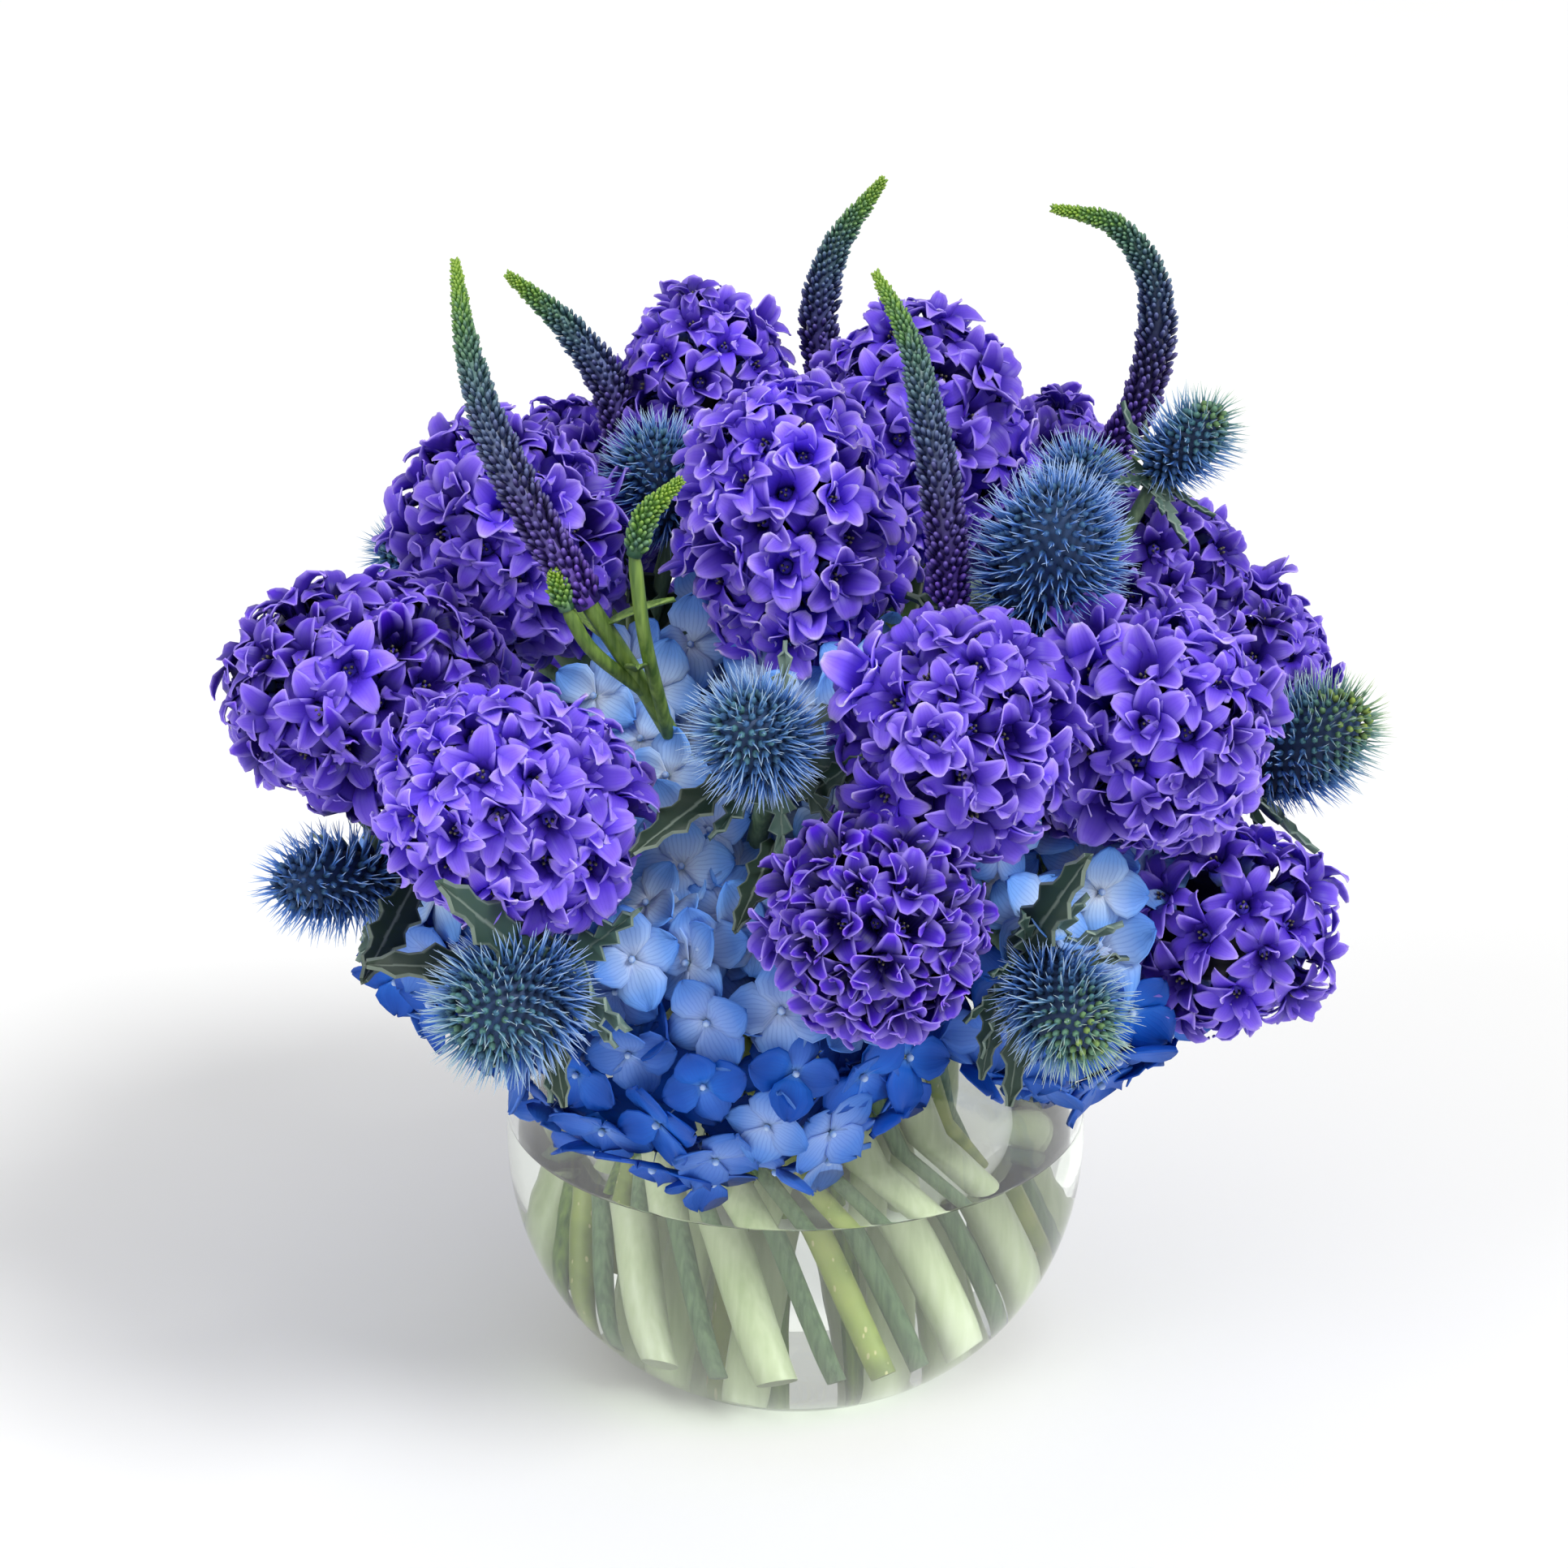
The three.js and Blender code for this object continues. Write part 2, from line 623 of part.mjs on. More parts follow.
const MOPHEAD = { seat: 52, rise: 6, across: 57, deep: 46, tall: 46, lean: 35, sector: 44.6 };
// The mophead in the middle, that the stems above it pass through.
const CROWN = { at: 157, height: 150, out: 5, across: 46, tall: 52 };
const LEAF_EDGE = 0.8; // thickness of a blade at its edge
const MOPHEAD_LEVELS = { crease: 0.8, heart: 0.93, notch: 0.86, tip: 0.98 };

// The mophead in the middle stands inside the outer ring of stems, the collar of mopheads outside it. Each
// line is [radius, height], and follows the stems as they spread.
const INSIDE_STEMS = [[33, 90], [33, 128], [50, 205]];
const OUTSIDE_STEMS = [[46, 80], [48, 128], [68, 180]];

/** A round body whose side is a line of [radius, height]. */
function column(side) {
  return turned([[0, side[0][1]], ...side, [0, side.at(-1)[1]]], 10);
}

/** The wedge of the collar that one mophead fills, with a gap to its neighbours. */
function wedge(facing) {
  const halfWidth = FAR * Math.tan(degToRad(MOPHEAD.sector));
  const shape = new THREE.Shape([
    new THREE.Vector2(GAP, 0),
    new THREE.Vector2(FAR, -halfWidth),
    new THREE.Vector2(FAR, halfWidth),
  ]);
  const block = new THREE.ExtrudeGeometry(shape, { depth: 2 * FAR, bevelEnabled: false });
  return solid(block.rotateZ(degToRad(facing)));
}

/** A mophead's dome of florets, one unit across each way. */
function dome(rows, lowest, highest) {
  return floretHead({
    across: 1,
    length: 1,
    rows,
    columns: 6,
    lowest: degToRad(lowest),
    highest: degToRad(highest),
    rim: "four",
    levels: MOPHEAD_LEVELS,
  });
}

// One side of a leaf as [share of its length, share of its width], with two teeth.
const LEAF_OUTLINE = [
  [0, 0.12],
  [0.25, 0.2],
  [0.4, 0.85],
  [0.45, 0.75],
  [0.62, 1],
  [0.68, 0.85],
  [0.85, 0.5],
  [1, 0.04],
];
const LEAF_FOLD = 0.12; // how high the edge stands over the midrib, as a share of the width

/** A leaf between two points, its blade level across: an oval with a toothed edge, thickest at its middle. */
function leaf(from, to, width) {
  const length = from.distanceTo(to);
  const edge = [...LEAF_OUTLINE, ...LEAF_OUTLINE.map(([t, w]) => [t, -w]).reverse()];
  const points = [LEAF_EDGE / 2, -LEAF_EDGE / 2].flatMap((z) =>
    edge.map(([t, w]) => {
      const lift = LEAF_FOLD * Math.abs(w) * width;
      return new THREE.Vector3((w * width) / 2, z + lift, (t - 0.5) * length);
    }),
  );
  const n = edge.length;
  points.push(new THREE.Vector3(0, LEAF_EDGE, 0), new THREE.Vector3(0, -LEAF_EDGE, 0));
  const triangles = [];
  for (let k = 0; k < n; k++) {
    const next = (k + 1) % n;
    triangles.push([k, next, 2 * n], [n + next, n + k, 2 * n + 1], [k, n + k, n + next], [k, n + next, next]);
  }
  return solid(mesh(points, triangles).applyMatrix4(along(from, to)));
}

function hydrangeaStem(line, leaves = []) {
  const blades = leaves.map(({ from, to, width }) => leaf(point(from), point(to), width));
  return {
    stem: joined([evenTube(line, STEM.hydrangea, 5), ...blades]),
    stemRoom: evenTube(line, STEM.hydrangea, 5, GAP),
  };
}

const collar = HYDRANGEAS.map((flower) => {
  const middle = polar(flower.out, flower.facing, flower.height);
  const head = dome(3, -35, 66).rotateY(degToRad(90 - MOPHEAD.lean));
  head.scale(MOPHEAD.deep, MOPHEAD.across, MOPHEAD.tall);
  head.rotateZ(degToRad(flower.facing)).translate(middle.x, middle.y, middle.z);
  const seat = polar(MOPHEAD.seat, flower.at, flower.height + MOPHEAD.rise);
  const line = stemLine("outer", flower.at, seat, polar(1, flower.at, 0.6).normalize());
  const inPlace = solid(head).intersect(wedge(flower.facing)).subtract(column(OUTSIDE_STEMS));
  return { ...flower, head: inPlace, ...hydrangeaStem(line, flower.leaves) };
});

const crown = (() => {
  const head = dome(2, -18, 58).scale(CROWN.across, CROWN.across, CROWN.tall).translate(0, 0, CROWN.height);
  const end = polar(CROWN.out, CROWN.at, CROWN.height);
  const line = [ringFoot(RINGS.core, CROWN.at), ringNeck(RINGS.core, CROWN.at), end];
  return { name: "crown", head: solid(head).intersect(column(INSIDE_STEMS)), ...hydrangeaStem(line) };
})();

const hydrangeas = [...collar, crown];

// ---- Fitting the flowers round each other ----

const stemRooms = [
  ...hyacinths.map((h) => h.stemRoom),
  ...hydrangeas.map((h) => h.stemRoom),
  ...seaHollies.map((s) => s.stemRoom),
  ...speedwells.map((s) => s.room),
];

const hyacinthHeads = hyacinths.map((one) => {
  const near = hyacinths.filter((h) => h !== one && h.middle.distanceTo(one.middle) < NEIGHBOURS);
  const pressing = near.filter((other) => one.room.intersect(other.room).volume() > 0);
  const planes = pressing.map((other) => parted(one, other));
  return largest(cut(one.head, [...planes, ...stemRooms, ...seaHollies.map((s) => s.room)]));
});

const seaHollySprays = seaHollies.map((one) => {
  const others = seaHollies.filter((other) => other !== one).map((other) => other.room);
  const ruffs = one.ruffs.map((ruff) =>
    cut(ruff, [
      ...hyacinths.flatMap((h) => [h.room, h.stemRoom]),
      ...hydrangeas.map((h) => h.stemRoom),
      ...speedwells.map((s) => s.room),
      ...others,
    ]),
  );
  return largest(joined([one.body, ...ruffs]));
});

const keptFromMopheads = [
  shoulderRoom(),
  ...stemRooms,
  ...hyacinths.map((h) => h.room),
  ...seaHollies.flatMap((s) => [s.room, s.ruffRoom]),
];
const hydrangeaHeads = hydrangeas.map((h) => largest(cut(h.head, keptFromMopheads)));

// ---- The arrangement ----

const arrangement = new THREE.Group();
const materials = Object.fromEntries(
  Object.entries(COLOURS).map(([name, look]) => [name, new THREE.MeshStandardMaterial(look)]),
);

function add(name, material, body) {
  const { vertProperties, triVerts, numProp } = body.getMesh();
  const geometry = new THREE.BufferGeometry();
  const positions = Array.from({ length: vertProperties.length / numProp }, (_, i) =>
    Array.from(vertProperties.subarray(i * numProp, i * numProp + 3)),
  ).flat();
  geometry.setAttribute("position", new THREE.Float32BufferAttribute(positions, 3));
  geometry.setIndex(Array.from(triVerts));
  geometry.computeVertexNormals();
  const piece = new THREE.Mesh(geometry, materials[material]);
  piece.name = name;
  arrangement.add(piece);
}

add("bowl", "glass", makeBowl());
add("water", "water", makeWater(stemRooms));
hyacinths.forEach((h, i) => {
  add(`hyacinth_${h.name}_stem`, "stem", h.stem);
  add(`hyacinth_${h.name}_bloom`, "hyacinth", hyacinthHeads[i]);
});
hydrangeas.forEach((h, i) => {
  add(`hydrangea_${h.name}_stem`, "stem", h.stem);
  add(`hydrangea_${h.name}_bloom`, "hydrangea", hydrangeaHeads[i]);
});
seaHollies.forEach((s, i) => add(`sea_holly_${s.name}`, "seaHolly", seaHollySprays[i]));
speedwells.forEach((s) => add(`speedwell_${s.name}`, "speedwell", s.body));

export default arrangement;
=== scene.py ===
# Blue mophead hydrangeas as a collar in a clear bubble bowl of water, with double violet hyacinths, sea
# hollies and speedwell spikes above them. Lengths are in millimetres and become metres where a mesh is made.
import math
import random

import bpy
import numpy as np
from mathutils import Matrix, Vector


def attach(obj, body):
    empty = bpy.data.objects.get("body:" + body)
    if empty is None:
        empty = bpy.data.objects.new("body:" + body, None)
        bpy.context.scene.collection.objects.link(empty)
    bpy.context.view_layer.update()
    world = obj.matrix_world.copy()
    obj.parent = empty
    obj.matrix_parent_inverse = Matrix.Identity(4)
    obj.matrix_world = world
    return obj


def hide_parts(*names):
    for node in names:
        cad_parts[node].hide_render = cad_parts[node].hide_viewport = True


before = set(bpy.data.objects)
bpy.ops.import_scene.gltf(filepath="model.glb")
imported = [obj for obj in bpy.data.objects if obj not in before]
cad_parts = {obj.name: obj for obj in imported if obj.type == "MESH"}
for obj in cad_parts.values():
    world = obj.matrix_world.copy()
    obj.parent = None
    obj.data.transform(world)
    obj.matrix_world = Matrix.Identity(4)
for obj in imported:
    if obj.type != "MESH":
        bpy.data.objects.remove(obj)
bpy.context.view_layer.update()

MM = 0.001

# ---- Bowl ----
# A bubble bowl of soda-lime glass, blown into a mould. Its wall is 3 mm with a thicker floor, its lip is
# fire-polished round, and the mould leaves the wall faintly wavy. It stands on its own flat foot, which is
# pushed up a little.

BOWL_RADIUS = 76
BELLY = 66  # height of the widest part
FOOT = 38
MOUTH = 50
WALL = 3
FLOOR = 5
CORNER = FLOOR + 4  # height at which the inside turns into the floor
SQUARENESS = 2.15  # of the curve below the belly, where 2 is an ellipse
BOWL_HEIGHT = BELLY + math.sqrt(BOWL_RADIUS**2 - MOUTH**2)


def bowl_radius(z):
    """Outside radius of the bowl at a height."""
    if z >= BELLY:
        return math.sqrt(BOWL_RADIUS**2 - (z - BELLY) ** 2)
    full = BELLY / (1 - (FOOT / BOWL_RADIUS) ** SQUARENESS) ** (1 / SQUARENESS)
    return BOWL_RADIUS * (1 - ((BELLY - z) / full) ** SQUARENESS) ** (1 / SQUARENESS)


def turned(name, profile, sides=96):
    """A round piece, drawn up ring by ring from a disc. The profile is a list of radius and height."""
    bpy.ops.object.select_all(action="DESELECT")
    radius, height = profile[0]
    bpy.ops.mesh.primitive_circle_add(
        vertices=sides, radius=radius * MM, fill_type="NGON", location=(0, 0, height * MM)
    )
    bpy.ops.object.transform_apply(location=True)
    bpy.ops.object.mode_set(mode="EDIT")
    for wider, higher in profile[1:]:
        bpy.ops.mesh.extrude_region_move(TRANSFORM_OT_translate={"value": (0, 0, (higher - height) * MM)})
        bpy.ops.transform.resize(
            value=(wider / radius, wider / radius, 1), center_override=(0, 0, higher * MM)
        )
        radius, height = wider, higher
    bpy.ops.mesh.select_all(action="SELECT")
    bpy.ops.mesh.normals_make_consistent(inside=False)
    bpy.ops.object.mode_set(mode="OBJECT")
    bpy.ops.object.shade_smooth_by_angle(angle=math.radians(40))
    piece = bpy.context.object
    piece.name = name
    return piece


def linear(colour):
    """An sRGB hex colour as the linear numbers that a shader takes."""
    parts = [int(colour[i : i + 2], 16) / 255 for i in (1, 3, 5)]
    return [*(c / 12.92 if c <= 0.04045 else ((c + 0.055) / 1.055) ** 2.4 for c in parts), 1]


def material_named(name):
    """A material with nothing in it."""
    material = bpy.data.materials.new(name)
    material.use_nodes = True
    material.node_tree.nodes.clear()
    return material


def add(material, kind, inputs=(), stops=(), **settings):
    """Adds a node. Its inputs are values, sockets, or nodes, of which the first output in use is taken. The
    stops of a ramp are its two ends and then what lies between them."""
    tree = material.node_tree
    node = tree.nodes.new("ShaderNode" + kind)
    for setting, value in settings.items():
        setattr(node, setting, value)
    for socket, value in dict(inputs).items():
        if isinstance(value, bpy.types.Node):
            value = next(output for output in value.outputs if output.enabled)
        if isinstance(value, bpy.types.NodeSocket):
            tree.links.new(value, node.inputs[socket])
        else:
            node.inputs[socket].default_value = value
    for i, (place, colour) in enumerate(stops):
        stop = node.color_ramp.elements[i] if i < 2 else node.color_ramp.elements.new(place)
        stop.position = place
        stop.color = linear(colour)
    return node


def clear(name, tint, shadow_tint, ior, scale, strength, distance):
    """A clear material with slow waves in its surface. Lamps shine straight through it, as the eye expects,
    and not only through its bent paths."""
    material = material_named(name)
    place = add(material, "TexCoord").outputs["Object"]
    waves = add(material, "TexNoise", {"Vector": place, "Scale": scale, "Detail": 1.0})
    wavy = add(material, "Bump", {"Height": waves, "Strength": strength, "Distance": distance})
    bent = add(
        material,
        "BsdfPrincipled",
        {
            "Base Color": linear(tint),
            "Roughness": 0.0,
            "IOR": ior,
            "Transmission Weight": 1.0,
            "Normal": wavy,
        },
    )
    straight = add(material, "BsdfTransparent", {"Color": linear(shadow_tint)})
    shadow = add(material, "LightPath").outputs["Is Shadow Ray"]
    surface = add(material, "MixShader", {0: shadow, 1: bent, 2: straight})
    add(material, "OutputMaterial", {"Surface": surface})
    return material


def finished(piece, slot, *replaced):
    """A piece stands for its CAD nodes and rides on the one body."""
    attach(piece, "root")
    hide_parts(*replaced)


lip_height = BOWL_HEIGHT - WALL / 2
wall_heights = [0, 0.4, 1.5, *range(3, int(BOWL_HEIGHT) - 1, 3), lip_height]
outside = [(bowl_radius(z), z) for z in wall_heights]
outside[0] = (FOOT - 1.2, 0)
lip_radius = bowl_radius(lip_height) - WALL / 2
lip = [
    (lip_radius + WALL / 2 * math.cos(a), lip_height + WALL / 2 * math.sin(a))
    for a in np.linspace(0, math.pi, 9)[1:-1]
]
inner_heights = [z for z in reversed(wall_heights) if z > CORNER]
inside = [(bowl_radius(z) - WALL, z) for z in inner_heights]
corner = bowl_radius(CORNER) - WALL
cove = ((1.2, 2.6), (3.4, 1.1), (7, 0.3), (14, 0))
floor_curve = [(corner - drawn_in, FLOOR + up) for drawn_in, up in cove]
foot_curve = [(12, 1.1), (24, 0.8), (31, 0.35), (34.5, 0.05)]
bowl = turned("clear_bowl", [*foot_curve, *outside, *lip, *inside, *floor_curve, (3, FLOOR)])

# Blown soda-lime glass: clear, a breath of green where it is thick, and slow waves 20 mm long in the wall.
blown_glass = clear(
    "blown_soda_lime_glass", "#FBFDFC", "#F8FBF9", 1.52, scale=45.0, strength=0.12, distance=0.0012
)
bowl.data.materials.append(blown_glass)
finished(bowl, "glass", "bowl")

# ---- Water ----
# Fresh water, a little more than half way up. It is drawn a hair into the wall, so no air shows between water
# and glass, and it climbs the wall by a millimetre at its edge.

WATER_LEVEL = 70
INTO_WALL = 0.12

wet_heights = [z for z in inner_heights[::-1] if z < WATER_LEVEL - 2]
wet = [(bowl_radius(z) - WALL + INTO_WALL, z) for z in wet_heights]
edge = bowl_radius(WATER_LEVEL) - WALL + INTO_WALL
wet_floor = [(r + INTO_WALL, z - INTO_WALL) for r, z in reversed(floor_curve)]
meniscus = [(edge, WATER_LEVEL + 0.5), (edge - 0.5, WATER_LEVEL + 0.2), (edge - 1.8, WATER_LEVEL)]
water = turned("water_in_bowl", [(3, FLOOR - INTO_WALL), *wet_floor, *wet, *meniscus, (6, WATER_LEVEL)])

# Water with a little sap in it: clear, and very faintly yellow-green.
vase_water = clear("vase_water", "#FBFCF7", "#FAFBF5", 1.333, scale=60.0, strength=0.06, distance=0.001)
water.data.materials.append(vase_water)
finished(water, "water", "water")

# ---- Hyacinth stems ----
# Thick, hollow, watery flower stalks, cut square and stood in the bowl in two twisted rings, outer and inner.
# Each runs straight from its cut end to the lip, bends once, and ends as the spine that its florets grow on.

RINGS = {
    "outer": (39.5, 51, 21, 60),
    "inner": (21, 31, 9, -42),
    "core": (8.5, 13, 8, 24),
}  # radius at the lip, radius and height of the cut end, and degrees of twist between them
HYACINTHS = {
    # name: ring, place round it, base of the head, its tip, its radius, florets, shade from 0, deep, to 1,
    # pale, and how many of its florets are cupped, the others being starry
    "left": ("outer", 171, (-80, -20, 189), (-129, -74, 211), 31, 74, 0.32, 0.1),
    "upper_left": ("inner", 195, (-62, 4, 198), (-82, -8, 256), 29, 70, 0.5, 0.3),
    "front_left": ("outer", 205, (-46, -80, 170), (-88, -108, 209), 29, 68, 0.78, 0.0),
    "top": ("inner", 110, (-24, 43, 216), (-23, 46, 281), 25, 58, 0.6, 0.3),
    "centre": ("inner", 250, (5, -19, 199), (-7, -15, 270), 27, 74, 0.85, 0.6),
    "upper_right": ("inner", 28, (32, 22, 216), (28, 18, 282), 29, 70, 0.58, 0.3),
    "centre_right": ("inner", 290, (34, -52, 180), (38, -107, 223), 29, 68, 0.6, 0.25),
    "right": ("outer", 293, (72, -25, 180), (93, -88, 209), 30, 70, 0.58, 0.35),
    "upper_far_right": ("inner", 350, (78, 18, 190), (104, 2, 230), 26, 54, 0.48, 0.2),
    "far_right": ("outer", 44, (92, 28, 171), (134, 8, 199), 27, 56, 0.5, 0.2),
    "front_low": ("outer", 261, (19, -74, 155), (16, -132, 171), 25, 72, 0.0, 0.95),
    "lower_right": ("outer", 338, (84, -22, 134), (125, -72, 146), 29, 40, 0.55, 0.0),
    "back_upper_right": ("inner", 65, (58, 50, 198), (73, 64, 247), 26, 56, 0.5, 0.4),
    "back_upper_left": ("inner", 152, (-50, 54, 196), (-66, 68, 244), 26, 56, 0.4, 0.1),
    "back": ("outer", 78, (22, 76, 164), (40, 128, 190), 30, 66, 0.45, 0.3),
    "back_left": ("outer", 115, (-46, 62, 160), (-76, 104, 188), 30, 66, 0.6, 0.5),
}
HYACINTH_STEM = 5.2
SKIRT = 5  # how far the lowest florets hang back along the stem
LEAVES_STRAIGHT = 0.35  # how stiffly a stem leaves the lip, and how stiffly it enters its head
ENTERS_STRAIGHT = 0.22
# The stem's end inside the head: how many half lengths up it, and what share of its thickness is left.
SPINE_ENDS = ((0.95, 0.9), (1.15, 0.8), (1.35, 0.65), (1.55, 0.5))


def polar(radius, degrees, z):
    turn = math.radians(degrees)
    return Vector((radius * math.cos(turn), radius * math.sin(turn), z))


def foot_and_neck(ring, at):
    """Where a stem's cut end stands, and where it crosses the lip."""
    neck, foot, rest, twist = RINGS[ring]
    return polar(foot, at + twist, rest), polar(neck, at, BOWL_HEIGHT)


def bent_line(ring, at, head, into, points=22):
    """A stem's line: straight from cut end to lip, then bent so that it enters its head the way into points."""
    foot, neck = foot_and_neck(ring, at)
    reach = (head - neck).length
    first = neck + (neck - foot).normalized() * LEAVES_STRAIGHT * reach
    second = head - into * ENTERS_STRAIGHT * reach
    line = [foot]
    for i in range(points + 1):
        t = i / points
        line.append(
            neck * (1 - t) ** 3 + first * 3 * t * (1 - t) ** 2 + second * 3 * t * t * (1 - t) + head * t**3
        )
    return line


def shoot(name, line, radii, sides=12):
    """A round shoot along a line with its radius at each point, closed at both ends."""
    bpy.ops.object.select_all(action="DESELECT")
    curve = bpy.data.curves.new(name, "CURVE")
    curve.dimensions = "3D"
    curve.bevel_depth = MM
    curve.bevel_resolution = (sides - 4) // 2
    curve.use_fill_caps = True
    spline = curve.splines.new("POLY")
    spline.points.add(len(line) - 1)
    for spot, p, r in zip(spline.points, line, radii):
        spot.co = (*(p * MM), 1)
        spot.radius = r
    piece = bpy.data.objects.new(name, curve)
    bpy.context.collection.objects.link(piece)
    bpy.context.view_layer.objects.active = piece
    piece.select_set(True)
    bpy.ops.object.convert(target="MESH")
    piece = bpy.context.object
    bpy.ops.object.mode_set(mode="EDIT")
    bpy.ops.mesh.select_all(action="SELECT")
    bpy.ops.mesh.remove_doubles(threshold=0.00001)
    bpy.ops.mesh.normals_make_consistent(inside=False)
    bpy.ops.object.mode_set(mode="OBJECT")
    bpy.ops.object.shade_smooth_by_angle(angle=math.radians(40))
    return piece


def hyacinth_axis(base, tip):
    """The way a head points, the lowest point of its skirt, its middle and half its length."""
    base, tip = Vector(base), Vector(tip)
    axis = (tip - base).normalized()
    base = base - axis * SKIRT
    return axis, base, (base + tip) / 2, (tip - base).length / 2


# A hyacinth's stalk: pale, watery green with a waxy bloom and faint long streaks about a millimetre apart.
fresh_stalk = material_named("fresh_hyacinth_stalk")
place = add(fresh_stalk, "TexCoord").outputs["Object"]
drawn_out = add(fresh_stalk, "Mapping", {"Vector": place, "Scale": (1.0, 1.0, 0.06)})
streaks = add(fresh_stalk, "TexNoise", {"Vector": drawn_out, "Scale": 520.0, "Detail": 3.0})
patches = add(fresh_stalk, "TexNoise", {"Vector": place, "Scale": 22.0, "Detail": 2.0})
blend = add(fresh_stalk, "Mix", {0: 0.3, 2: patches, 3: streaks})
green = add(fresh_stalk, "ValToRGB", {"Fac": blend}, [(0.3, "#A9BB88"), (0.75, "#EAF0DC"), (0.5, "#CCD8B2")])
# Above the water the same stalk is painted a deeper green: painted shade for the shade among the flowers.
up = add(fresh_stalk, "SeparateXYZ", {0: place}).outputs[2]
painted_shade_above_water = add(fresh_stalk, "MapRange", {0: up, 1: 0.095, 2: 0.17, 3: 0.0, 4: 0.85})
greener_with_painted_shade = add(fresh_stalk, "Mix", {0: painted_shade_above_water, 6: green, 7: linear("#4E7A34")}, data_type="RGBA")
raised = add(fresh_stalk, "Bump", {"Height": streaks, "Strength": 0.12, "Distance": 0.0004})
surface = add(
    fresh_stalk,
    "BsdfPrincipled",
    {
        "Base Color": greener_with_painted_shade,
        "Roughness": 0.38,
        "Specular IOR Level": 0.45,
        "Coat Weight": 0.15,
        "Coat Roughness": 0.3,
        "Normal": raised,
    },
)
add(fresh_stalk, "OutputMaterial", {"Surface": surface})

stem_lines = {}
for name, (ring, at, base, tip, *_) in HYACINTHS.items():
    axis, base, _, half = hyacinth_axis(base, tip)
    line = bent_line(ring, at, base + axis * 0.75 * half, axis)
    thick = [HYACINTH_STEM] * len(line) + [HYACINTH_STEM * share for _, share in SPINE_ENDS]
    line += [base + axis * reach * half for reach, _ in SPINE_ENDS]
    stalk = shoot(f"hyacinth_{name}_stalk", line, thick, sides=14)
    stalk.data.materials.append(fresh_stalk)
    finished(stalk, "hyacinth_stem", f"hyacinth_{name}_stem")
    stem_lines[f"hyacinth_{name}"] = line

# ---- Hydrangea stems ----
# Woody, slimmer stems, green-brown with pale pores. Four stand in the outer ring and carry the collar of
# mopheads, and one in the middle carries the mophead that the stems above it pass through. One keeps a leaf,
# which lies in the bowl.

HYDRANGEAS = {
    # name: place round the ring, the way the head faces, how far out its middle is, and how high
    "front": (234, 250, 60, 124),
    "right": (308, 340, 67, 133),
    "back": (62, 70, 58, 128),
    "left": (144, 160, 73, 126),
}
HYDRANGEA_STEM = 3.2
SEAT = 52  # radius at which a collar mophead's stem ends inside it
CROWN_AT = 157
CROWN_HEIGHT = 150
HYDRANGEA_LEAF = 30  # length of the leaf that was left on

# Young hydrangea wood: yellow-green, browner in patches, with pale pores 1 mm long.
green_wood = material_named("green_hydrangea_wood")
place = add(green_wood, "TexCoord").outputs["Object"]
patches = add(green_wood, "TexNoise", {"Vector": place, "Scale": 60.0, "Detail": 3.0})
bark = add(green_wood, "ValToRGB", {"Fac": patches}, [(0.35, "#7A8B45"), (0.7, "#B2BC6A"), (0.5, "#98A958")])
drawn_out = add(green_wood, "Mapping", {"Vector": place, "Scale": (1.0, 1.0, 0.4)})
pores = add(green_wood, "TexVoronoi", {"Vector": drawn_out, "Scale": 420.0})
dots = add(green_wood, "Math", {0: pores, 1: 0.16}, operation="LESS_THAN")
dotted = add(green_wood, "Mix", {0: dots, 6: bark, 7: linear("#C9C58E")}, data_type="RGBA")
rough = add(green_wood, "Bump", {"Height": patches, "Strength": 0.3, "Distance": 0.0006})
surface = add(green_wood, "BsdfPrincipled", {"Base Color": dotted, "Roughness": 0.5, "Normal": rough})
add(green_wood, "OutputMaterial", {"Surface": surface})


def blade(name, across, along, shape, thickness):
    """A thin petal or leaf from a grid. shape places a point that is -1 to 1 across and 0 to 1 along."""
    bpy.ops.object.select_all(action="DESELECT")
    bpy.ops.mesh.primitive_grid_add(x_subdivisions=across, y_subdivisions=along, size=2)
    piece = bpy.context.object
    piece.name = name
    for vertex in piece.data.vertices:
        vertex.co = Vector(shape(vertex.co.x, (vertex.co.y + 1) / 2)) * MM
    thick = piece.modifiers.new("thickness", "SOLIDIFY")
    thick.thickness = thickness * MM
    thick.offset = 0
    bpy.ops.object.modifier_apply(modifier=thick.name)
    for face in piece.data.polygons:
        face.use_smooth = face.index < 2 * across * along  # the cut edge that follows them stays crisp
    return piece


def listed(items, field, kind=float, each=1):
    """One field of all points, corners or faces of a mesh."""
    values = np.empty(each * len(items), kind)
    items.foreach_get(field, values)
    return values


def copied(piece, finish=0):
    """Reads a modelled piece so that it can be planted many times, and takes it off the table."""
    mesh = piece.data
    points = listed(mesh.vertices, "co", each=3).reshape(-1, 3)
    corners = listed(mesh.loops, "vertex_index", int)
    sizes = listed(mesh.polygons, "loop_total", int)
    slots = listed(mesh.polygons, "material_index", int) + finish
    smooth = listed(mesh.polygons, "use_smooth", bool)
    unrolled, shades = np.zeros((len(corners), 2)), np.zeros(len(points))
    if mesh.uv_layers:
        unrolled = listed(mesh.uv_layers.active.data, "uv", each=2).reshape(-1, 2)
    if "shade" in mesh.attributes:
        shades = listed(mesh.attributes["shade"].data, "value")
    bpy.data.objects.remove(piece)
    return points, corners, sizes, slots, smooth, unrolled, shades


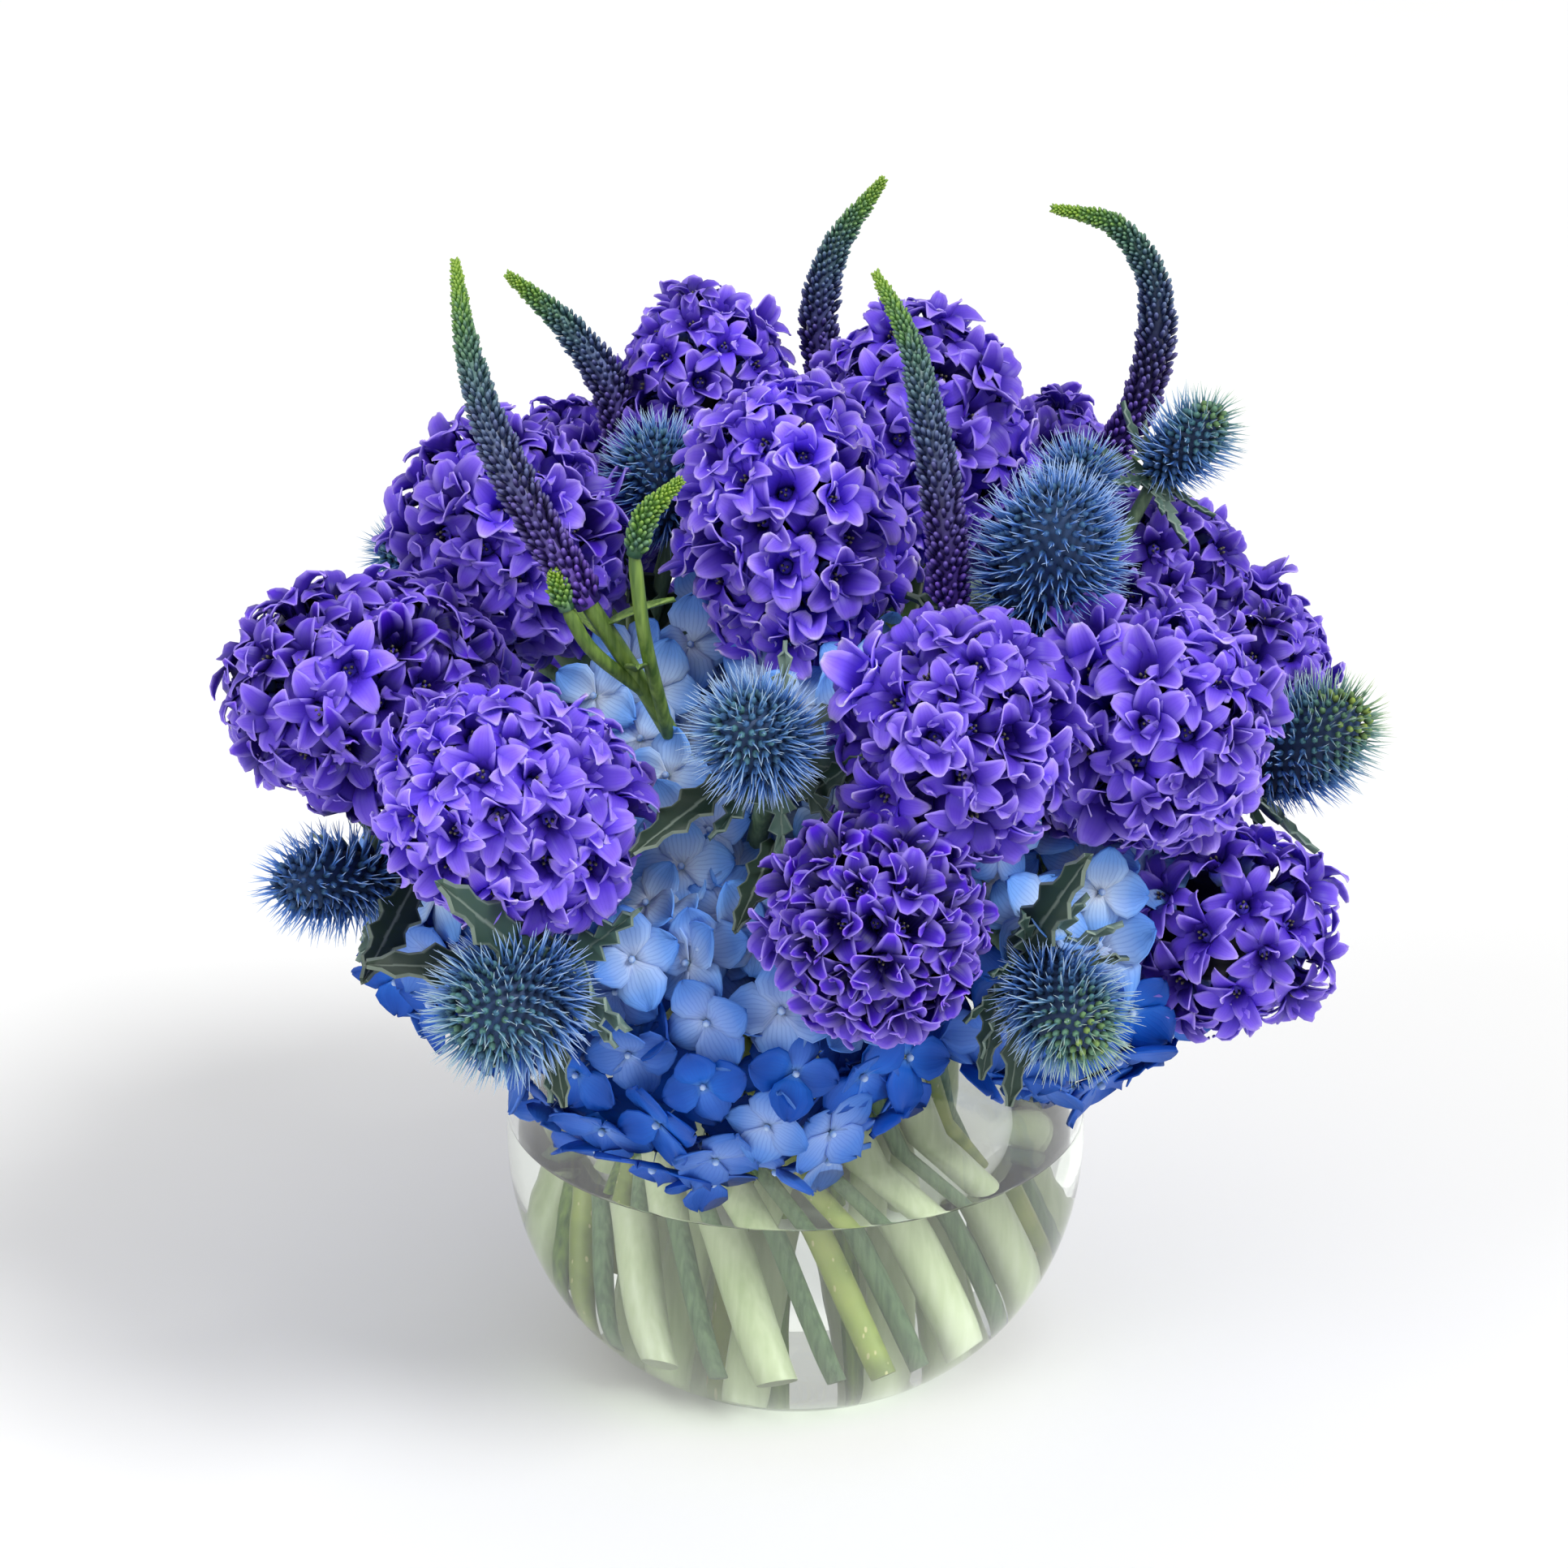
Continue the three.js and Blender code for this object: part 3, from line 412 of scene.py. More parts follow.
def planted(name, copies, finishes=()):
    """One mesh of many copies, each a read piece, its place as a matrix in metres, and its shade, 0 to 1."""
    parts = []
    first = 0
    for (points, corners, sizes, slots, smooth, unrolled, shades), place, shade in copies:
        turn = np.array(place)
        points = points @ turn[:3, :3].T + turn[:3, 3]
        parts.append((points, corners + first, sizes, slots, smooth, unrolled, shades + shade))
        first += len(points)
    points, corners, sizes, slots, smooth, unrolled, shades = (np.concatenate(part) for part in zip(*parts))
    mesh = bpy.data.meshes.new(name)
    mesh.vertices.add(len(points))
    mesh.vertices.foreach_set("co", points.ravel())
    mesh.loops.add(len(corners))
    mesh.loops.foreach_set("vertex_index", corners)
    mesh.polygons.add(len(sizes))
    mesh.polygons.foreach_set("loop_start", np.cumsum(sizes) - sizes)
    mesh.update(calc_edges=True)
    mesh.polygons.foreach_set("material_index", slots)
    mesh.polygons.foreach_set("use_smooth", smooth)
    mesh.uv_layers.new(name="blade").data.foreach_set("uv", unrolled.ravel())
    mesh.attributes.new("shade", "FLOAT", "POINT").data.foreach_set("value", shades)
    mesh.update()
    piece = bpy.data.objects.new(name, mesh)
    bpy.context.collection.objects.link(piece)
    for finish in finishes:
        mesh.materials.append(finish)
    return piece


def standing(spot, forward, spin=0.0, scale=1.0):
    """A place in millimetres whose +Z looks forward, as a matrix in metres."""
    turned_to = Vector(forward).to_track_quat("Z", "Y").to_matrix().to_4x4()
    place = Matrix.Translation(Vector(spot) * MM) @ turned_to
    return place @ Matrix.Rotation(spin, 4, "Z") @ Matrix.Scale(scale, 4)


def laid(start, way, facing, scale=1.0):
    """A place in millimetres for a blade that runs along way, its face turned towards facing."""
    way = way.normalized()
    across = way.cross(facing).normalized()
    turned_to = Matrix((across, way, across.cross(way))).transposed().to_4x4()
    return Matrix.Translation(start * MM) @ turned_to @ Matrix.Scale(scale, 4)


def leaf_shape(u, v):
    """A toothed oval leaf, folded a little along its midrib, with its point turned down."""
    tooth = 1 + 0.07 * (1 if round(v * 16) % 2 else -1)
    wide = 12 * math.sin(math.pi * (0.02 + 0.96 * v**0.85)) ** 0.8 * tooth
    lift = 2.5 * abs(u) - 5 * (v - 0.4) ** 2 + 0.6 * math.sin(9 * v) * u * u
    return u * wide, HYDRANGEA_LEAF * v - HYDRANGEA_LEAF / 2, lift


def own_place(material):
    """How far across and along its own piece a point lies, each from 0 to 1."""
    place = add(material, "SeparateXYZ", {0: add(material, "UVMap", uv_map="blade")})
    return place.outputs[0], place.outputs[1]


def off_midrib(material, across):
    """How far a point is from its blade's midrib, 0 there and 0.5 at the edge."""
    signed = add(material, "Math", {0: across, 1: 0.5}, operation="SUBTRACT")
    return add(material, "Math", {0: signed}, operation="ABSOLUTE")


def fine_lines(material, across, how_many, start, strength):
    """Lines that repeat across a blade, drawn where a sine wave of how_many radians passes start."""
    angle = add(material, "Math", {0: across, 1: how_many}, operation="MULTIPLY")
    wave = add(material, "Math", {0: angle}, operation="SINE")
    return add(material, "MapRange", {0: wave, 1: start, 2: 1.0, 3: 0.0, 4: strength})


# A hydrangea leaf that has stood in water: yellow-green, paler on the midrib and the side veins 4 mm apart.
tired_leaf = material_named("yellowing_leaf")
across, along = own_place(tired_leaf)
ribs = off_midrib(tired_leaf, across)
slanting = add(tired_leaf, "Math", {0: ribs, 1: -0.9, 2: along}, operation="MULTIPLY_ADD")
veins = fine_lines(tired_leaf, slanting, 50.0, 0.86, 0.6)
midrib = add(tired_leaf, "MapRange", {0: ribs, 1: 0.05, 2: 0.01, 3: 0.0, 4: 1.0})
lines = add(tired_leaf, "Math", {0: veins, 1: midrib}, operation="MAXIMUM")
place = add(tired_leaf, "TexCoord").outputs["Object"]
mottle = add(tired_leaf, "TexNoise", {"Vector": place, "Scale": 130.0, "Detail": 3.0})
flesh = add(tired_leaf, "ValToRGB", {"Fac": mottle}, [(0.35, "#8C9A35"), (0.7, "#C3B84F"), (0.52, "#A9AC40")])
veined = add(tired_leaf, "Mix", {0: lines, 6: flesh, 7: linear("#DAD88F")}, data_type="RGBA")
raised = add(tired_leaf, "Bump", {"Height": lines, "Strength": 0.4, "Distance": 0.0004})
surface = add(tired_leaf, "BsdfPrincipled", {"Base Color": veined, "Roughness": 0.45, "Normal": raised})
add(tired_leaf, "OutputMaterial", {"Surface": surface})

leaf_from, leaf_to = Vector((26.5, -28, 115)), Vector((51, -34, 93))
leaf = copied(blade("hydrangea_leaf", 4, 16, leaf_shape, 0.6), finish=1)
leaf_way = leaf_to - leaf_from
leaf_place = laid((leaf_from + leaf_to) / 2, leaf_way, Vector((0, 0, 1)), leaf_way.length / HYDRANGEA_LEAF)

for name, (at, facing, out, height) in HYDRANGEAS.items():
    line = bent_line("outer", at, polar(SEAT, at, height + 6), polar(1, at, 0.6).normalized())
    wood = shoot(f"hydrangea_{name}_wood", line, [HYDRANGEA_STEM] * len(line))
    if name == "right":
        copies = [(copied(wood), Matrix(), 0.5), (leaf, leaf_place, 0.5)]
        wood = planted("hydrangea_right_wood_and_leaf", copies, [green_wood, tired_leaf])
    else:
        wood.data.materials.append(green_wood)
    finished(wood, "hydrangea_stem", f"hydrangea_{name}_stem")
    stem_lines[f"hydrangea_{name}"] = line

line = [*foot_and_neck("core", CROWN_AT), polar(5, CROWN_AT, CROWN_HEIGHT)]
wood = shoot("hydrangea_crown_wood", line, [HYDRANGEA_STEM] * 3)
wood.data.materials.append(green_wood)
finished(wood, "hydrangea_stem", "hydrangea_crown_stem")
stem_lines["hydrangea_crown"] = line

# ---- Sea hollies ----
# Eryngium: egg-shaped cones of tiny florets, each with stiff fine spines, on a ruff of spiny bracts, on thin
# ridged stems that fork below the heads. Steel blue all over, dusted, and some cones are green at the tip.

SEA_HOLLIES = {
    # name: place round the outer ring, its fork, and its heads: base, tip, radius, ruffed or not, green share
    "centre": (245, (-9, -66, 172), [((-4, -80, 196), (-14, -107, 214), 16.5, True, 0.3)]),
    "upper_right": (
        322,
        (50, -22, 176),
        [
            ((58, -28, 210), (62, -58, 252), 20, True, 0.05),
            ((68, -4, 230), (70, -8, 250), 14, False, 0.1),
            ((88, 0, 240), (104, -6, 260), 13, True, 0.75),
        ],
    ),
    "right": (355, (88, -8, 157), [((112, -16, 166), (140, -26, 190), 17, True, 0.95)]),
    "left": (189, (-80, -32, 150), [((-98, -48, 154), (-122, -78, 163), 15, True, 0.0)]),
    "front_left": (221, (-52, -68, 143), [((-57, -94, 147), (-73, -130, 149), 19, True, 0.5)]),
    "front_right": (277, (45, -66, 146), [((55, -83, 145), (68, -113, 137), 16.5, True, 0.85)]),
    "upper_left": (
        155,
        (-42, 16, 172),
        [((-30, 13, 223), (-37, 2, 251), 17, False, 0.2), ((-90, 32, 202), (-106, 26, 218), 13, False, 0.3)],
    ),
    "back": (96, (-6, 66, 178), [((-12, 88, 206), (-22, 112, 232), 19, True, 0.2)]),
}
HOLLY_LEAVES = {
    # name: the leaves on a spray's stems, each from its start to its point
    "centre": (
        ((-16, -86, 192), (-37, -110, 185)),
        ((-5, -84, 176), (-14, -106, 164)),
        ((2, -80, 186), (14, -92, 200)),
    ),
    "front_right": (
        ((52, -86, 148), (64, -106, 180)),
        ((54, -88, 142), (50, -100, 116)),
        ((48, -84, 140), (43, -97, 122)),
    ),
    "front_left": (
        ((-58, -104, 152), (-77, -127, 182)),
        ((-58, -100, 144), (-54, -113, 122)),
        ((-62, -98, 150), (-97, -112, 158)),
    ),
    "left": (((-92, -58, 156), (-100, -93, 147)),),
    "upper_left": (
        ((-41, 15, 178), (-22, 2, 208)),
        ((-38, 14, 192), (-14, 12, 222)),
        ((-40, 15, 184), (-30, -14, 206)),
        ((-36, 14, 202), (-46, -6, 226)),
    ),
    "upper_right": (((52, -24, 182), (36, -44, 200)), ((53, -24, 188), (50, -50, 204))),
}
SEA_HOLLY_STEM = 2.5
SIDE_STEM = 0.7 * SEA_HOLLY_STEM
SPINE_LENGTH = 9
CONE = 19  # radius of a full-grown cone, with its spines
UNITS = 360  # florets on it
CONE_FOOT = -72  # degrees below its widest part that its florets begin
BRACTS = 9
BRACT_LENGTH = 24
GOLDEN_TURN = math.pi * (3 - math.sqrt(5))
ROUND = 6.28  # a whole turn, for spins that are left to chance
chance = random.Random(11)


def astray(most):
    """A small step to any side."""
    return Vector([chance.uniform(-most, most) for _ in range(3)])


def smooth_line(knots, steps):
    """A centripetal curve through the knots, with as many steps from each to the next."""
    knots = [2 * knots[0] - knots[1], *knots, 2 * knots[-1] - knots[-2]]
    line = []
    for a, b, c, d in zip(knots, knots[1:], knots[2:], knots[3:]):
        t1 = (b - a).length ** 0.5
        t2 = t1 + (c - b).length ** 0.5
        t3 = t2 + (d - c).length ** 0.5
        for i in range(steps):
            t = t1 + (t2 - t1) * i / steps
            ab, bc, cd = a.lerp(b, t / t1), b.lerp(c, (t - t1) / (t2 - t1)), c.lerp(d, (t - t2) / (t3 - t2))
            line.append(ab.lerp(bc, t / t2).lerp(bc.lerp(cd, (t - t1) / (t3 - t1)), (t - t1) / (t2 - t1)))
    return [*line, knots[-2]]


def lengthwise(piece):
    """Unrolls a slim piece so that its map runs from 0 at its foot to 1 at its tip."""
    heights = [vertex.co.z for vertex in piece.data.vertices]
    low, high = min(heights), max(heights)
    unrolled = piece.data.uv_layers.active or piece.data.uv_layers.new(name="blade")
    for corner, place in zip(piece.data.loops, unrolled.data):
        place.uv = (0.5, (heights[corner.vertex_index] - low) / (high - low))
    return piece


def slim(name, sides, wide, long, bend=0.0):
    """A slim pointed piece from a cone, drawn in towards its tip and bent forwards."""
    bpy.ops.object.select_all(action="DESELECT")
    bpy.ops.mesh.primitive_cone_add(
        vertices=sides, radius1=wide * MM, radius2=wide * 0.62 * MM, depth=long * 0.5 * MM
    )
    bpy.ops.object.mode_set(mode="EDIT")
    bpy.ops.mesh.select_all(action="SELECT")
    bpy.ops.transform.translate(value=(0, 0, long * 0.25 * MM))
    bpy.ops.mesh.select_all(action="DESELECT")
    bpy.ops.object.mode_set(mode="OBJECT")
    piece = bpy.context.object
    for face in piece.data.polygons:
        face.select = face.normal.z > 0.9
    bpy.ops.object.mode_set(mode="EDIT")
    bpy.ops.mesh.select_mode(type="FACE")
    bpy.ops.mesh.extrude_region_move(TRANSFORM_OT_translate={"value": (bend * MM, 0, long * 0.5 * MM)})
    bpy.ops.transform.resize(value=(0.12, 0.12, 1), center_override=(bend * MM, 0, long * MM))
    bpy.ops.object.mode_set(mode="OBJECT")
    piece.name = name
    bpy.ops.object.shade_smooth()
    return lengthwise(piece)


def grain(name, wide, long, segments=6, rings=4):
    """A small oval bead that stands on the origin."""
    bpy.ops.object.select_all(action="DESELECT")
    bpy.ops.mesh.primitive_uv_sphere_add(segments=segments, ring_count=rings, radius=wide * MM)
    bpy.ops.object.mode_set(mode="EDIT")
    bpy.ops.mesh.select_all(action="SELECT")
    bpy.ops.transform.resize(value=(1, 1, long / (2 * wide)), center_override=(0, 0, 0))
    bpy.ops.transform.translate(value=(0, 0, long / 2 * MM))
    bpy.ops.object.mode_set(mode="OBJECT")
    bpy.ops.object.shade_smooth()
    piece = bpy.context.object
    piece.name = name
    return lengthwise(piece)


def spread(count, lowest):
    """Directions spread evenly over a head from its lowest latitude up, and how far up each is, 0 to 1."""
    low = math.sin(math.radians(lowest))
    for i in range(count):
        share = (i + 0.5) / count
        z = low + (1 - low) * share
        r = math.sqrt(1 - z * z)
        yield Vector((r * math.cos(i * GOLDEN_TURN), r * math.sin(i * GOLDEN_TURN), z)), share


def bract_shape(u, v):
    """A narrow spiny bract, folded along its midrib, with teeth drawn out into points."""
    tooth = (1.9, 0.62)[round(v * 10) % 2] if 0.05 < v < 0.95 else 0.8
    wide = (3.0 - 2.85 * v**1.3) * tooth
    forward = 1.2 if tooth > 1 else 0.0
    return u * wide, BRACT_LENGTH * v + forward * abs(u), 1.6 * abs(u) - 4.5 * v * (1 - v) + 1.5 * v


def spray_leaf_shape(u, v):
    """A slender leaf, as long as a bract, with a few short spines along its edge."""
    spiny = 1.35 if round(v * 12) % 3 == 1 else 0.85
    wide = (0.5 + 2.3 * math.sin(math.pi * (0.08 + 0.9 * v) ** 0.8)) * spiny
    return u * wide, BRACT_LENGTH * v, 1.1 * abs(u) - 3.5 * v * (1 - v) - 2.5 * v**3


def toned(material, along, deep, pale):
    """A colour by the place along a blade, from the deep ramp at shade 0 to the pale one at shade 1."""
    ends = [add(material, "ValToRGB", {"Fac": along}, stops) for stops in (deep, pale)]
    shade = add(material, "Attribute", attribute_name="shade").outputs["Fac"]
    return add(material, "Mix", {0: shade, 6: ends[0], 7: ends[1]}, data_type="RGBA")


# The cones' tiny florets: packed, dull steel blue to green, darker where they shade each other.
holly_florets = material_named("sea_holly_florets")
_, along = own_place(holly_florets)
shade = add(holly_florets, "Attribute", attribute_name="shade").outputs["Fac"]
tipped = add(
    holly_florets,
    "ValToRGB",
    {"Fac": shade},
    [(0.0, "#152D55"), (1.0, "#A3BC48"), (0.35, "#3A68A0"), (0.6, "#4E8488"), (0.8, "#6C9560")],
)
lit = add(holly_florets, "MapRange", {0: along, 1: 0.2, 2: 1.0, 3: 0.25, 4: 1.0})
shaded = add(holly_florets, "Mix", {0: lit, 6: linear("#101B2C"), 7: tipped}, data_type="RGBA")
surface = add(holly_florets, "BsdfPrincipled", {"Base Color": shaded, "Roughness": 0.6})
add(holly_florets, "OutputMaterial", {"Surface": surface})

# The spines: stiff, fine and dry, dark at the root and pale, metallic-looking blue at the point.
holly_spines = material_named("sea_holly_spines")
_, along = own_place(holly_spines)
steel = toned(
    holly_spines,
    along,
    [(0.0, "#1E4288"), (1.0, "#BCD6F8"), (0.5, "#568ADA")],
    [(0.0, "#39594F"), (1.0, "#CFE0A6"), (0.5, "#7BA377")],
)
surface = add(holly_spines, "BsdfPrincipled", {"Base Color": steel, "Roughness": 0.42})
add(holly_spines, "OutputMaterial", {"Surface": surface})

# Bracts and leaves: leathery grey-green with a dusty blue bloom, paler along the midrib and the spiny edge.
holly_bracts = material_named("sea_holly_bracts")
across, _ = own_place(holly_bracts)
middle = off_midrib(holly_bracts, across)
pale = add(holly_bracts, "MapRange", {0: middle, 1: 0.07, 2: 0.01, 3: 0.0, 4: 0.35})
rim = add(holly_bracts, "MapRange", {0: middle, 1: 0.44, 2: 0.5, 3: 0.0, 4: 0.3})
lines = add(holly_bracts, "Math", {0: pale, 1: rim}, operation="MAXIMUM")
shade = add(holly_bracts, "Attribute", attribute_name="shade").outputs["Fac"]
body = add(holly_bracts, "ValToRGB", {"Fac": shade}, [(0.0, "#1E3426"), (1.0, "#8FA79A"), (0.5, "#45645A")])
veined = add(holly_bracts, "Mix", {0: lines, 6: body, 7: linear("#B4C4B4")}, data_type="RGBA")
surface = add(holly_bracts, "BsdfPrincipled", {"Base Color": veined, "Roughness": 0.5})
add(holly_bracts, "OutputMaterial", {"Surface": surface})

# The stems: ridged, blue-green, with the same dust.
holly_stalk = material_named("sea_holly_stalk")
place = add(holly_stalk, "TexCoord").outputs["Object"]
drawn_out = add(holly_stalk, "Mapping", {"Vector": place, "Scale": (1.0, 1.0, 0.05)})
ridges = add(holly_stalk, "TexNoise", {"Vector": drawn_out, "Scale": 900.0, "Detail": 2.0})
dusty = add(holly_stalk, "ValToRGB", {"Fac": ridges}, [(0.3, "#5C7A5A"), (0.75, "#86A37A")])
raised = add(holly_stalk, "Bump", {"Height": ridges, "Strength": 0.15, "Distance": 0.0004})
surface = add(holly_stalk, "BsdfPrincipled", {"Base Color": dusty, "Roughness": 0.5, "Normal": raised})
add(holly_stalk, "OutputMaterial", {"Surface": surface})

bead = copied(grain("holly_floret", 0.9, 2.6), finish=0)
spine = copied(slim("holly_spine", 4, 0.34, SPINE_LENGTH, bend=0.6), finish=1)
bract = copied(blade("holly_bract", 2, 10, bract_shape, 0.6), finish=2)
spray_leaf = copied(blade("holly_leaf", 2, 12, spray_leaf_shape, 0.6), finish=2)
egg = copied(grain("holly_core", 1, 2, segments=16, rings=10), finish=0)


def cone_copies(base, axis, middle, turn, half, radius, greenness):
    """A cone's core and the florets on it, each with two spines, which take up the last of the radius."""
    wide, long = radius - 0.78 * SPINE_LENGTH, half - 1
    core = Matrix.Diagonal((wide - 1, wide - 1, long - 1, 1))
    copies = [(egg, standing(base + axis * 1.5, axis) @ core, 0.1)]
    grown = 0.7 + 0.3 * radius / CONE
    for way, share in spread(round(UNITS * (radius / CONE) ** 2), CONE_FOOT):
        spot = middle + turn @ Vector((way.x * (wide - 1), way.y * (wide - 1), way.z * (long - 1)))
        outward = turn @ Vector((way.x / wide, way.y / wide, way.z / long)).normalized()
        lean = outward + axis * (0.5 - 0.25 * share) + astray(0.14)
        green_here = greenness * max(0.0, (share - 0.35) / 0.65) ** 1.2
        copies.append((bead, standing(spot, outward), 0.3 + 0.65 * green_here + chance.uniform(-0.12, 0.12)))
        for extra in (0, 1):
            size = (0.86 + 0.25 * math.sin(math.pi * share)) * grown * chance.uniform(0.8, 1.12)
            way_out = lean + astray(0.3) * extra
            copies.append((spine, standing(spot, way_out, chance.uniform(0, ROUND), size), green_here))
    return copies


heads_in_the_way = []  # name, middle, turn, radius and half length of each head, for what grows beside it
for name, (at, fork, heads) in SEA_HOLLIES.items():
    fork = Vector(fork)
    copies = []
    foot, neck = foot_and_neck("outer", at)
    for i, (base, tip, radius, ruffed, greenness) in enumerate(heads):
        base, tip = Vector(base), Vector(tip)
        axis = (tip - base).normalized()
        half = (tip - base).length / 2
        middle = (base + tip) / 2
        turn = axis.to_track_quat("Z", "Y").to_matrix()
        heads_in_the_way.append((f"sea_holly_{name}", middle, turn, radius, half + 4))
        if i == 0:
            line = [foot, *smooth_line([neck, fork, base + axis * 2], 9)]
        else:
            line = smooth_line([fork, fork.lerp(base, 0.55) - Vector((0, 0, 3)), base + axis * 2], 6)
        stem_lines[f"sea_holly_{name}_{i}"] = line
        thick = [SIDE_STEM if i else SEA_HOLLY_STEM] * len(line)
        copies.append((copied(shoot("holly_stalk", line, thick, sides=10), finish=3), Matrix(), 0.5))
        copies += cone_copies(base, axis, middle, turn, half, radius, greenness)
        for k in range(BRACTS if ruffed else 0):
            spin = 2 * math.pi * k / BRACTS + chance.uniform(-0.2, 0.2)
            way = turn @ Vector((math.cos(spin), math.sin(spin), chance.uniform(-0.35, 0.45))).normalized()
            size = chance.uniform(0.85, 1.25) * radius / CONE
            ruff = laid(base + axis * 0.8 + way * 1.5, way, axis, size)
            copies.append((bract, ruff, chance.uniform(0.1, 0.8)))
    for start, end in HOLLY_LEAVES.get(name, ()):
        way = Vector(end) - Vector(start)
        facing = Vector((chance.uniform(-0.4, 0.4), -1, 0.8))
        leaf_place = laid(Vector(start), way, facing, way.length / BRACT_LENGTH)
        copies.append((spray_leaf, leaf_place, chance.uniform(-0.1, 0.25)))
    finishes = [holly_florets, holly_spines, holly_bracts, holly_stalk]
    spray = planted(f"sea_holly_{name}_spray", copies, finishes)
    finished(spray, "sea_holly", f"sea_holly_{name}")

# ---- Speedwells ----
# Veronica: one smooth green stalk that ends in a long tapering spike of buds, which curls towards the light.
# The lowest buds are violet and about to open, those above are tight and dark, and the tip is still green.

SPEEDWELLS = {
    # name: ring, place round it, the spike's line, the stem's line to it, and side shoots, as spike and stem
    "left": (
        "core",
        232,
        [(-49, -52, 224), (-61, -51, 244), (-71, -45, 263), (-78, -31, 282), (-81, -20, 299)],
        [(-35, -45, 198)],
        [
            ([(-38, -58, 238), (-35, -60, 248), (-27, -62, 257)], [(-31, -42, 188), (-36, -56, 218)]),
            ([(-54, -56, 224), (-57, -56, 233)], [(-36, -46, 200), (-49, -54, 214)]),
        ],
    ),
    "upper_left": (
        "outer",
        131,
        [(-44, 36, 236), (-48, 35, 256), (-58, 34, 271), (-72, 30, 285)],
        [(-40, 23, 165), (-42, 28, 202)],
        [],
    ),
    "top": ("core", 82, [(9, 52, 246), (6, 50, 270), (10, 48, 288), (22, 46, 306)], [(8, 46, 215)], []),
    "centre": (
        "core",
        310,
        [(37, -42, 220), (35, -45, 243), (31, -40, 266), (26, -30, 284), (19, -20, 296)],
        [(27, -30, 190)],
        [],
    ),
    "right": (
        "outer",
        20,
        [(80, 33, 237), (87, 31, 250), (91, 30, 268), (89, 28, 286), (79, 25, 299), (64, 20, 304)],
        [(48, 18, 150), (56, 24, 180), (69, 36, 214)],
        [],
    ),
}
SPEEDWELL_STEM = 2.2
SPIKE_RADIUS = 4.6
SPIKE_TIP = 0.9
SIDE_SHOOT = (0.6, 0.78)  # its thickness beside the main one's, and how green its foot is
BUD_LENGTH = 4.0

# Buds: waxy and dusted, violet-black at the foot of the spike and green at its tip, each with a paler point.
speedwell_buds = material_named("speedwell_buds")
_, along = own_place(speedwell_buds)
shade = add(speedwell_buds, "Attribute", attribute_name="shade").outputs["Fac"]
places = (0.0, 1.0, 0.3, 0.55, 0.75, 0.88)
dark = ("#2C1568", "#6F9A2A", "#251C4E", "#26385A", "#2F5449", "#4C7B35")
bright = ("#8A5FE0", "#A9C44E", "#6F68B0", "#6E88AC", "#74A084", "#8CB554")
root = add(speedwell_buds, "ValToRGB", {"Fac": shade}, zip(places, dark))
point = add(speedwell_buds, "ValToRGB", {"Fac": shade}, zip(places, bright))
tips = add(speedwell_buds, "MapRange", {0: along, 1: 0.55, 2: 1.0, 3: 0.0, 4: 0.85})
waxy = add(speedwell_buds, "Mix", {0: tips, 6: root, 7: point}, data_type="RGBA")
surface = add(speedwell_buds, "BsdfPrincipled", {"Base Color": waxy, "Roughness": 0.42})
add(speedwell_buds, "OutputMaterial", {"Surface": surface})

# The stalk and its few narrow leaves: fresh mid green, with a fine grain along it.
speedwell_stalk = material_named("speedwell_stalk")
place = add(speedwell_stalk, "TexCoord").outputs["Object"]
drawn_out = add(speedwell_stalk, "Mapping", {"Vector": place, "Scale": (1.0, 1.0, 0.08)})
fibres = add(speedwell_stalk, "TexNoise", {"Vector": drawn_out, "Scale": 700.0, "Detail": 2.0})
fresh = add(speedwell_stalk, "ValToRGB", {"Fac": fibres}, [(0.3, "#4C6E2C"), (0.75, "#8FAE52")])
surface = add(speedwell_stalk, "BsdfPrincipled", {"Base Color": fresh, "Roughness": 0.45})
add(speedwell_stalk, "OutputMaterial", {"Surface": surface})


def narrow_leaf(u, v):
    """A narrow pointed leaf, 18 mm long, folded along its midrib."""
    return u * (0.4 + 2.4 * math.sin(math.pi * v**0.8)), 18 * v, 0.9 * abs(u) - 3 * v * v


bud = copied(grain("speedwell_bud", 0.8, BUD_LENGTH), finish=1)
leaflet = copied(blade("speedwell_leaf", 2, 6, narrow_leaf, 0.5), finish=0)


